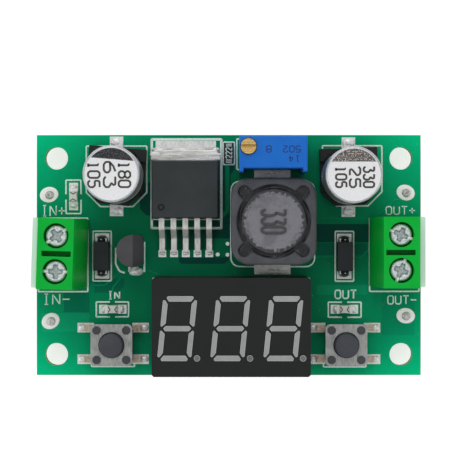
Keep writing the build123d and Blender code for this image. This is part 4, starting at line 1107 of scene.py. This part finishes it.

# %% [markdown]
# Where copper lies under the mask the green is darker or brighter than over bare glass cloth. The pours are
# thin plates just above the board, cut with 45 degree corners as a layout program draws them, and the traces
# are ribbons. Two of the dark plates, in the narrow gap right of the regulator's body, are painted shadow.

# %% Copper under the mask
def plate_mesh(name, outlines, z, thickness=0.012):
    """Flat plates from convex or plain outlines of x, y points, counter-clockwise."""
    points, faces = [], []
    for outline in outlines:
        n = len(outline)
        start = len(points)
        points += [(x, y, z) for x, y in outline] + [(x, y, z + thickness) for x, y in outline]
        faces.append(tuple(start + i for i in reversed(range(n))))
        faces.append(tuple(start + n + i for i in range(n)))
        faces += [(start + i, start + (i + 1) % n, start + n + (i + 1) % n, start + n + i) for i in range(n)]
    return drawn_mesh(name, points, faces)


dark_pours = [
    corners(12.8, 2.07, 20.7, 4.7),
    # Painted shadow: this plate and the next, in the narrow gap right of the regulator's body, stand for
    # shadow, not copper.
    [(-1.07, 6.2), (-0.52, 6.75), (-0.52, 13.2), (-1.07, 13.2)],
    [(0.12, 2.6), (0.28, 2.6), (0.28, 12.0), (0.86, 12.6), (0.86, 13.2), (0.1, 13.2)],
    [(-1.07, 2.6), (0.1, 2.6), (0.1, 6.5), (-1.07, 5.35)],
    corners(-2.6, 2.6, -1.1, 5.25),
    [(-11.4, 5.25), (-10.75, 4.5), (-9.9, 4.3), (-9.9, 5.25)],
    [(-12.95, 6.9), (-12.0, 5.95), (-11.35, 5.95), (-11.35, 10.8), (-12.5, 10.8), (-12.95, 10.4)],
    [(-6.9, -1.1), (-0.6, -1.1), (0.1, -0.4), (0.1, -0.15), (-7.3, -0.15), (-7.3, -0.7)],
    *[corners(x, 1.0, x + 0.62, 3.9) for x in (-9.06, -7.37, -5.68, -3.99)],
]
dim_pours = [
    corners(-24.05, -8.15, -20.3, -5.3),
    corners(12.8, 0.2, 20.7, 1.9),
    [(-19.6, -5.3), (-16.2, -5.3), (-15.2, -4.3), (-15.2, -3.2), (-19.6, -3.2)],
]
pale_pours = [
    [(-0.5, 6.6), (0.1, 7.0), (0.1, 13.2), (-0.5, 13.2)],
    [(-1.07, 5.45), (-0.75, 5.75), (-0.02, 6.62), (-0.02, 6.95), (-0.5, 6.55), (-1.07, 5.98)],
    corners(-27.3, -11.0, -20.3, -8.3),
    corners(12.8, -5.6, 20.2, -4.2),
]
soft_pours = [corners(22.3, -11.5, 27.1, -4.4)]
pour_z = board_top + 0.002
for name, outlines_of, finish in (
    ("dark_pours", dark_pours, mask_deep), ("dim_pours", dim_pours, mask_dim),
    ("soft_pours", soft_pours, mask_soft), ("pale_pours", pale_pours, mask_pale),
):
    add_piece(name, plate_mesh(name, outlines_of, pour_z), finish)
traces = [
    [(12.8, -0.1), (19.4, -0.1), (20.4, 0.9), (20.4, 2.0)],
    [(-15.8, -3.2), (-16.9, -4.6), (-16.9, -5.2)],
    [(-12.4, -1.8), (-10.2, -2.7)],
    [(13.2, 5.6), (21.6, 5.6), (24.2, 8.2), (25.2, 8.2)],
    [(-20.1, -4.2), (-18.0, -4.2), (-15.2, -1.6)],
]
ribbons("raised_traces", traces, mask_pale, 0.28, 0.024, 0.3, board_top + 0.004)
print("pours", len(dark_pours) + len(dim_pours) + len(soft_pours) + len(pale_pours), "traces", len(traces))

# %% [markdown]
# The three vias in the middle of the board are filled with solder, so each shows as a small
# raised spot that catches the light. One lathed spot is copied to the three places.

# %% Filled vias
via_profile = [(0, 0.0), (0.5, 0.0), (0.5, 0.03), (0.42, 0.05), (0.3, 0.03), (0, 0.02)]
via_width = 0.58
vias_at = [(x, y, board_top, via_width, via_width, 1.0, 0.0)
           for x, y in ((-0.17, 1.83), (-1.61, 0.27), (-0.18, 0.23))]
via_fill = metal_finish("via_fill", (246, 252, 248), (255, 255, 255), 0.5, 0.3, 0.02, metallic=0.0)
copies("via_rings", lathe("via_ring", via_profile, segments=16), vias_at, via_fill)
print("vias", len(vias_at))

# %% [markdown]
# The coil sits in a square ferrite ring with a lobe at each corner of its bore, where the wire
# ends come up. Its outline is worked out for every angle: a rounded square outside, and inside
# the wider of the round bore and the four lobes. Resin fills the gap in ripples.

# %% Shield ring and resin
ring_low, ring_high = extent("inductor_shield")
ring_x, ring_y, _ = middle("inductor_shield")
ring_half = ((ring_high[0] - ring_low[0]) / 2, (ring_high[1] - ring_low[1]) / 2)
ring_corner = 2.6
bore_radius = 5.2
lobe_orbit, lobe_radius = 5.85, 0.9
ring_steps = 160


def outer_reach(angle, inset=0.0):
    """Distance from the middle to the rounded square, shrunk by an inset."""
    c, s = abs(math.cos(angle)), abs(math.sin(angle))
    hx, hy, corner = ring_half[0] - inset, ring_half[1] - inset, ring_corner - inset
    flat = min(hx / max(c, 1e-6), hy / max(s, 1e-6))
    x, y = flat * c, flat * s
    if x <= hx - corner or y <= hy - corner:
        return flat
    cx, cy = hx - corner, hy - corner
    along = c * cx + s * cy
    return along + math.sqrt(max(corner ** 2 - (cx ** 2 + cy ** 2 - along ** 2), 0.0))


def inner_reach(angle, grow=0.0):
    """Distance from the middle to the bore, or to a lobe where that lies further out."""
    reach = bore_radius + grow
    for corner in (45, 135, 225, 315):
        off = angle - math.radians(corner)
        aside = lobe_orbit * math.sin(off)
        if math.cos(off) > 0 and abs(aside) < lobe_radius + grow:
            reach = max(reach, lobe_orbit * math.cos(off) + math.sqrt((lobe_radius + grow) ** 2 - aside ** 2))
    return reach


def ring_mesh(name, rows, downwards=False):
    """Closed ring; each row gives a reach and a height for an angle, and the last joins the first."""
    points = []
    for row in rows:
        for angle in round_angles(ring_steps):
            d, z = row(angle)
            points.append((ring_x + d * math.cos(angle), ring_y + d * math.sin(angle), z))
    return drawn_mesh(name, points, sleeve(0, len(rows), ring_steps, downwards, closed=True))


def rounding(reach, start, steps, radius, rising):
    """Rows of a quarter round at the ring's top edge, on its outer or its inner side."""
    rows = []
    for k in range(steps):
        turn = math.pi / 2 * k / (steps - 1)
        inset, z = radius * (1 - math.cos(turn)), start - radius + radius * math.sin(turn)
        if not rising:
            inset, z = radius * (1 - math.sin(turn)), start - radius + radius * math.cos(turn)
        rows.append(lambda a, inset=inset, z=z: (reach(a, inset), z))
    return rows


low_z, top_z = ring_low[2], ring_high[2]
outer_round, inner_round = 0.45, 0.3
ring_rows = [lambda a: (outer_reach(a, 0.1), low_z), lambda a: (outer_reach(a), low_z + 0.15)]
ring_rows += rounding(outer_reach, top_z, 6, outer_round, rising=True)
ring_rows += rounding(inner_reach, top_z, 5, inner_round, rising=False)
ring_rows.append(lambda a: (inner_reach(a), low_z))
shield_ring = add_piece("shield_ring", ring_mesh("shield_ring", ring_rows), ferrite, smooth=50)
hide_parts("inductor_shield")

resin_top, resin_depth, resin_rings = top_z - 0.45, 1.0, 9
core_radius_mm = (extent("inductor_core")[1][0] - extent("inductor_core")[0][0]) / 2


def resin_inner(angle):
    return core_radius_mm - 0.05


def resin_outer(angle):
    return inner_reach(angle) - 0.02


def resin_row(k):
    """Reach and height of one ring of the resin: it sags, ripples, and stands up over the wire ends."""
    share = k / (resin_rings - 1)

    def row(angle):
        inner, outer = resin_inner(angle), resin_outer(angle)
        d = inner + (outer - inner) * share
        bead = math.exp(-(((d - lobe_orbit) / 0.42) ** 2)) * max(0.0, (outer - bore_radius) / 1.5) * 0.42
        wave = 0.05 * math.sin(angle * 5 + 1.3 + k * 0.4) + 0.02 * math.sin(angle * 11 + k)
        sag = -0.16 * math.sin(math.pi * share)
        return d, resin_top + sag + wave + bead

    return row


resin_rows = [resin_row(k) for k in range(resin_rings)]
resin_foot = resin_top - resin_depth
resin_rows += [lambda a: (resin_outer(a), resin_foot), lambda a: (resin_inner(a), resin_foot)]
resin_mesh = ring_mesh("resin_fill", resin_rows, downwards=True)
resin_fill = add_piece("resin_fill", resin_mesh, resin, smooth=60)
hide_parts("inductor_resin")
print("ring middle", round(ring_x, 2), round(ring_y, 2), "core radius", round(core_radius_mm, 2))

# %% [markdown]
# A plain value is burnt into the core's face. The trimmer and the chip resistor carry thin printed figures, and
# each lamp shows two dark marks through its lens. Four short white dashes at the resistor's ends are painted
# highlights.

# %% Figures on the parts
burnt = ink_finish("burnt_mark", (38, 36, 38), (86, 84, 86), 0.14, 0.6)
core_word = lettering("330", ((core_x0 - 0.05, core_y0), (3.3, 3.3)), -90.0)
ribbons("core_figures", core_word, burnt, 0.34, 0.03, 0.2, high("inductor_core") + 0.006)
print_blue = ink_finish("navy_print", (8, 26, 84), (16, 62, 140), 0.12, 0.5)
trimmer_x, trimmer_y, _ = middle("trimmer_housing")
trimmer_top = high("trimmer_housing")
trimmer_word = []
for figures, aside, up, width in (("502", 2.55, 0.62, 2.4), ("14", 2.9, -0.75, 1.5), ("8", -0.65, 0.62, 0.7)):
    trimmer_word += lettering(figures, ((trimmer_x + aside, trimmer_y + up), (width, 0.86)), 180.0)
ribbons("trimmer_figures", trimmer_word, print_blue, 0.13, 0.02, 0.06, trimmer_top + 0.004)
resistor_top = board_top + 0.6
resistor_print_and_highlights = lettering("222", ((resistor_x, resistor_y), (1.5, 0.85)), 90.0)
# Painted highlights: four short white dashes near the resistor's ends stand for light on its solder.
resistor_print_and_highlights += [[(resistor_x - 0.42, resistor_y + step), (resistor_x + 0.42, resistor_y + step)]
                  for step in (-1.32, -1.02, 1.04, 1.3)]
ribbons("resistor_figures", resistor_print_and_highlights, ink, 0.13, 0.02, 0.05, resistor_top + 0.004)
lamp_marks = []
for centre, along in lamp_places:
    for side in (-1, 1):
        mark = [(side * 0.62, 0.42), (side * 0.34, 0.0), (side * 0.62, -0.42)]
        lamp_marks.append(set_down(mark, centre, along))
ribbons("lamp_marks", lamp_marks, burnt, 0.14, 0.02, 0.05, high("lamp_lenses") + 0.004)
print("part figures", len(core_word) + len(trimmer_word) + len(resistor_print_and_highlights))

# %% [markdown]
# A terminal screw has a plated head with a cross recess, and a slot that runs out at its rim, so
# either driver fits. Drivers have burred it. The head is a polar grid whose height follows
# the recess, with the shank below. Each screw rides on its own body and turns with it.

# %% Screw heads
def recess(radius, angle):
    """Depth of the cross and slot below the head's face, in millimetres."""
    u, v = radius * math.cos(angle), radius * math.sin(angle)

    def groove(along, across, reach, half, depth):
        side = min(max((half - abs(across)) / 0.1, 0.0), 1.0)
        end = min(max((reach - abs(along)) / 0.12, 0.0), 1.0)
        return depth * side * end

    slot_run = groove(u, v, 2.0, 0.22, 0.2)
    cross = max(groove(u, v, 1.02, 0.34, 0.5), groove(v, u, 1.02, 0.34, 0.5))
    pit = 0.55 * min(max((0.62 - radius) / 0.2, 0.0), 1.0)
    return max(slot_run, cross, pit)


def screw_mesh(name, node):
    """Head and shank of a screw about its own axis, at the heights of its CAD node."""
    low, top = extent(node)
    radius, neck, head = (top[0] - low[0]) / 2 - 0.1, 1.25, 1.35
    steps, rings = 72, 16
    face_z = top[2] - 0.02
    points = [(0, 0, face_z - recess(0, 0))]
    for k in range(1, rings + 1):
        r = radius * k / rings
        fall = 0.2 * max(0.0, (r / radius - 0.8) / 0.2) ** 2
        for a in round_angles(steps):
            burr = 0.02 * math.sin(7 * a + 2) * math.sin(11 * r)
            points.append((r * math.cos(a), r * math.sin(a), face_z - fall - recess(r, a) * (1 - fall) + burr))
    for r, z in ((radius, top[2] - head), (neck, top[2] - head), (neck, low[2])):
        points += [(r * math.cos(a), r * math.sin(a), z) for a in round_angles(steps)]
    points.append((0, 0, low[2]))
    rows = rings + 3
    faces = fan(0, 1, steps) + sleeve(1, rows, steps, downwards=True)
    faces += fan(len(points) - 1, 1 + (rows - 1) * steps, steps, downwards=True)
    return drawn_mesh(name, points, faces)


screw_turns = {"left_lower": -2.0, "left_upper": 35.0, "right_lower": 69.0, "right_upper": -22.0}
# Painted highlights: the glints are two white mounds near the ends of each screw's slot.
glint_reach = 1.4
for lane, turn in screw_turns.items():
    screw = f"{lane}_screw"
    cx, cy, _ = middle(screw)
    head_at = [(cx, cy, 0.0, 1.0, 1.0, 1.0, turn)]
    head = copies(f"{lane}_head", screw_mesh(f"{lane}_head", screw), head_at, zinc, screw, 50)
    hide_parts(screw)
    glint_z = high(screw) - 0.26
    glints_at = [(x, y, glint_z, 0.8, 0.5, 0.24, turn)
                 for x, y in set_down([(-glint_reach, 0.0), (glint_reach, 0.0)], (cx, cy), turn)]
    copies(f"{lane}_glints", mound(f"{lane}_glint"), glints_at, shine, screw)
print("screw heads", len(screw_turns))

# %% [markdown]
# The regulator's tab is wetted by solder along its far edge, and white streaks over the tab are painted
# highlights. On the moulding, a round mark shows where the first lead is: a disc covers the dimple of the CAD
# body, and a dark ring, painted shade of the dimple, is drawn in its place. All are low shapes of their own.

# %% Tab solder and mould mark
tab_low, tab_high = extent("regulator_tab")
body_low, body_high = extent("regulator_body")
tab_middle, tab_long = (tab_low[0] + tab_high[0]) / 2, tab_high[0] - tab_low[0]
edge_mounds = [(-0.36, 2.6, 0.5), (-0.08, 3.6, 0.42), (0.24, 3.0, 0.5), (0.42, 1.4, 0.4)]
wet = [(tab_middle + share * tab_long, tab_high[1] + 0.05, pad_top - 0.01, length, 0.9, height, 0.0)
       for share, length, height in edge_mounds]
copies("tab_solder", mound("tab_mound"), wet, wet_tab)
mark_x, mark_y = body_low[0] + 1.49, body_low[1] + 1.67
cover_disc = lathe("mark_cover", [(0, 0.0), (0.95, 0.0), (0.95, 0.01), (0, 0.01)], segments=48)
cover_at = [(body_low[0] + 1.7, body_low[1] + 1.86, body_high[2], 1.0, 1.0, 1.0, 0.0)]
copies("mark_cover", cover_disc, cover_at, mould)
# Painted shade: the dark ring stands for the shade in the moulded dimple.
mark_ring = arc((mark_x, mark_y), 0.37, 0, 345, 23)
mark_ring.append(mark_ring[0])
mark_shade = moulded_finish("mark_shade", (6, 7, 8), (22, 24, 26), 0.6, 0.2, 0.01)
ribbons("mould_mark", [mark_ring], mark_shade, 0.25, 0.016, 0.0, body_high[2] + 0.016)
# Painted highlights: the white streaks over the tab stand for light on its solder.
highlight_streaks = [(-0.43, -0.62, 1.5, 0.8), (-0.2, -0.68, 3.2, 0.36), (-0.27, -0.95, 1.9, 0.22),
           (0.4, -0.62, 2.0, 0.55), (0.22, -0.35, 1.4, 0.14), (0.1, -1.28, 1.0, 0.12)]
highlight_streaks_at = [(tab_middle + share * tab_long, tab_high[1] + up, tab_high[2] - 0.02, length, width, 0.1, 0.0)
              for share, up, length, width in highlight_streaks]
copies("tab_streaks", mound("tab_highlight"), highlight_streaks_at, shine)
print("mark at", round(mark_x, 2), round(mark_y, 2))

# %% [markdown]
# Each block diode has a rounded dark plug at both ends, where its lead enters the moulding, with a white speck
# on it that is a painted highlight. The leaning regulator's lead shows a drop of solder.

# %% Diode ends
plugs, specks = [], []
for node in ("input_diode_body", "output_diode_body"):
    (x0, y0, _), (x1, y1, z1) = extent(node)
    x, plug_height = (x0 + x1) / 2, (z1 - pad_top) * 0.9
    for y, side in ((y0, -1), (y1, 1)):
        plugs.append((x, y + side * 0.06, pad_top + 0.08, 1.75, 1.6, plug_height, 0.0))
        specks.append((x, y + side * 0.22, pad_top + plug_height * 0.92, 0.34, 0.26, 0.16, 0.0))
copies("diode_plugs", mound("plug_mound"), plugs, diode_mould)
# Painted highlight: a small white speck near the top of each plug.
copies("diode_specks", mound("highlight_mound"), specks, shine)
lead_x, lead_y = middle("small_regulator_leads")[0], extent("small_regulator_leads")[0][1]
lead_drop_at = [(lead_x + 0.1, lead_y - 0.1, board_top, 2.05, 1.2, 0.55, 0.0)]
copies("small_lead_solder", mound("lead_drop"), lead_drop_at, solder)
print("plugs", len(plugs), "specks", len(specks))

# %% [markdown]
# Mask covers most of the pad of each regulator lead, so tin shows only at the toe. The pads'
# mesh is copied without those five pads, and short pads are set in their place. The chip
# resistor's pads go too, because its box is dark between the end caps: a dark bed lies there.

# %% Toe pads
pads = frame["nodes"]["solder_pads"].data.copy()
pads.name = "tinned_pads"
form = bmesh.new()
form.from_mesh(pads)
bmesh.ops.remove_doubles(form, verts=form.verts, dist=weld * MM)
hidden = [(lead_x0 - 0.4, foot - 1.1, lead_x1 + 0.4, foot + 2.6),
          (resistor_x - 1.0, resistor_y - 1.75, resistor_x + 1.0, resistor_y + 1.75)]
inside = [v for v in form.verts for x0, y0, x1, y1 in hidden
          if x0 < v.co.x / MM < x1 and y0 < v.co.y / MM < y1]
bmesh.ops.delete(form, geom=inside, context="VERTS")
form.to_mesh(pads)
form.free()
tinned_pads = add_piece("tinned_pads", pads, tin)
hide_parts("solder_pads")
pad_thickness = 0.05
toes = [[(x - 0.57, foot - 0.8), (x + 0.57, foot - 0.8), (x + 0.55, foot + 0.2), (x - 0.55, foot + 0.2)]
        for x in lead_lines]
bed = [corners(resistor_x - 0.72, resistor_y - 1.52, resistor_x + 0.72, resistor_y + 1.52)]
add_piece("resistor_bed", plate_mesh("resistor_bed", bed, board_top, pad_thickness), resistor_mould)
add_piece("toe_pads", plate_mesh("toe_pads", toes, board_top, pad_thickness), via_fill)
print("pads removed", len(inside), "toes", len(toes))

# %% [markdown]
# The display's face is one flat film: its bars and points are clear resin flush with it, pale,
# with a brighter rim where the light guide ends. Each digit is seven outlines in upright
# coordinates, slanted as the digits are. The plates stand for the CAD fill in its pockets.

# %% Display segments
face_top = high("display_housing")
display_x, display_y, _ = middle("display_housing")
digit_pitch, digit_shift, slant = 7.49, (-0.13, -0.16), math.tan(math.radians(5.7))
flat_bar = [(-1.78, 4.54), (1.78, 4.54), (1.86, 4.28), (1.52, 3.86), (-1.52, 3.86), (-1.86, 4.28)]
middle_bar = [(-1.92, 0.0), (-1.65, 0.32), (1.65, 0.32), (1.92, 0.0), (1.65, -0.32), (-1.65, -0.32)]
side_bar = [(1.73, 3.4), (2.08, 3.93), (2.26, 4.0), (2.36, 3.88),
            (2.36, 0.44), (2.25, 0.34), (2.18, 0.34), (1.73, 0.76)]


def mirrored(outline, across, up):
    return [(across * x, up * y) for x, y in outline]


digit_bars = [flat_bar, mirrored(flat_bar, 1, -1), middle_bar]
digit_bars += [mirrored(side_bar, across, up) for across in (-1, 1) for up in (-1, 1)]
bars, points_at = [], []
for k in (-1, 0, 1):
    cx, cy = display_x + digit_shift[0] + k * digit_pitch, display_y + digit_shift[1]
    for bar in digit_bars:
        placed = [(cx + x + y * slant, cy + y) for x, y in bar]
        turning = sum(a[0] * b[1] - b[0] * a[1] for a, b in zip(placed, placed[1:] + placed[:1]))
        bars.append(placed if turning > 0 else placed[::-1])
    points_at.append((cx + 2.79, cy - 4.2))
segment_plates = plate_mesh("segment_plates", bars, face_top - 0.02, 0.026)
segments = add_piece("segment_plates", segment_plates, segment_resin)
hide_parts("display_segments")
bar_rim = moulded_finish("segment_rim", (150, 153, 151), (188, 191, 189), 0.4, 0.3, 0.004)
rims = [[*bar, bar[0]] for bar in bars]
ribbons("segment_rims", rims, bar_rim, 0.1, 0.02, 0.08, face_top + 0.006)
point_resin = moulded_finish("point_resin", (92, 97, 96), (120, 125, 123), 0.45, 0.4, 0.004)
discs = [(x, y, face_top - 0.02, 0.98, 0.98, 1.0, 0.0) for x, y in points_at]
disc = lathe("point_disc", [(0, 0.0), (0.46, 0.0), (0.46, 0.024), (0.42, 0.03), (0, 0.03)], segments=32)
copies("point_discs", disc, discs, point_resin)
point_rims = []
for spot in points_at:
    rim_path = arc(spot, 0.42, 0, 350, 35)
    point_rims.append([*rim_path, rim_path[0]])
ribbons("point_rims", point_rims, bar_rim, 0.07, 0.02, 0.0, face_top + 0.014)
print("bars", len(bars), "points", len(points_at))

# %% [markdown]
# Below the board, traces fan out from the controller's legs to the display's pins and to the
# row of resistors, as such boards are laid out. They are the same ribbons, just under the mask.

# %% Traces below
chip_low, chip_high = extent("controller_leads")
leg_step = (chip_high[0] - chip_low[0] - 0.3) / 9
below = []
for k in range(6):
    pin_x = -6.0 + 2.54 * k
    leg_x = chip_low[0] + 0.15 + leg_step * (k + 2)
    near_bend = chip_low[1] - 0.5 - 0.1 * k
    below.append([(leg_x, chip_low[1] - 0.1), (leg_x, near_bend), (pin_x, -14.2), (pin_x, -15.0)])
    below.append([(leg_x, chip_high[1] + 0.1), (leg_x, chip_high[1] + 0.5), (pin_x, -5.6), (pin_x, -4.9)])
for k in range(8):
    below.append([(-7.3 + 2.2 * k, 4.0), (-7.3 + 2.2 * k, 4.6), (-6.4 + 1.9 * k, 5.6), (-6.4 + 1.9 * k, 8.5)])
ribbons("traces_below", below, mask_pale, 0.26, 0.024, 0.3, -0.004)
rail = [[(-21.7, -3.4), (-17.0, -3.4), (-13.0, 0.6), (-9.0, 0.6)], [(-21.7, 4.0), (-12.0, 4.0)],
        [(21.8, -3.2), (16.0, -3.2), (13.0, -0.2), (9.5, -0.2)], [(21.8, 4.0), (12.5, 4.0)]]
ribbons("rails_below", rail, mask_pale, 1.5, 0.02, 0.8, -0.003)
print("traces below", len(below) + len(rail))

# %% [markdown]
# Each switch clicks on a snap dome, a thin steel cap that the button flattens as it travels. It can't follow
# the button as a rigid piece, so a copy of it with a mesh of its own stands in its place.

# %% Snap domes
for side in ("left", "right"):
    node = f"{side}_switch_dome"
    dome = add_piece(f"{side}_snap_dome", frame["nodes"][node].data.copy(), dome_steel)
    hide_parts(node)
    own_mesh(dome)
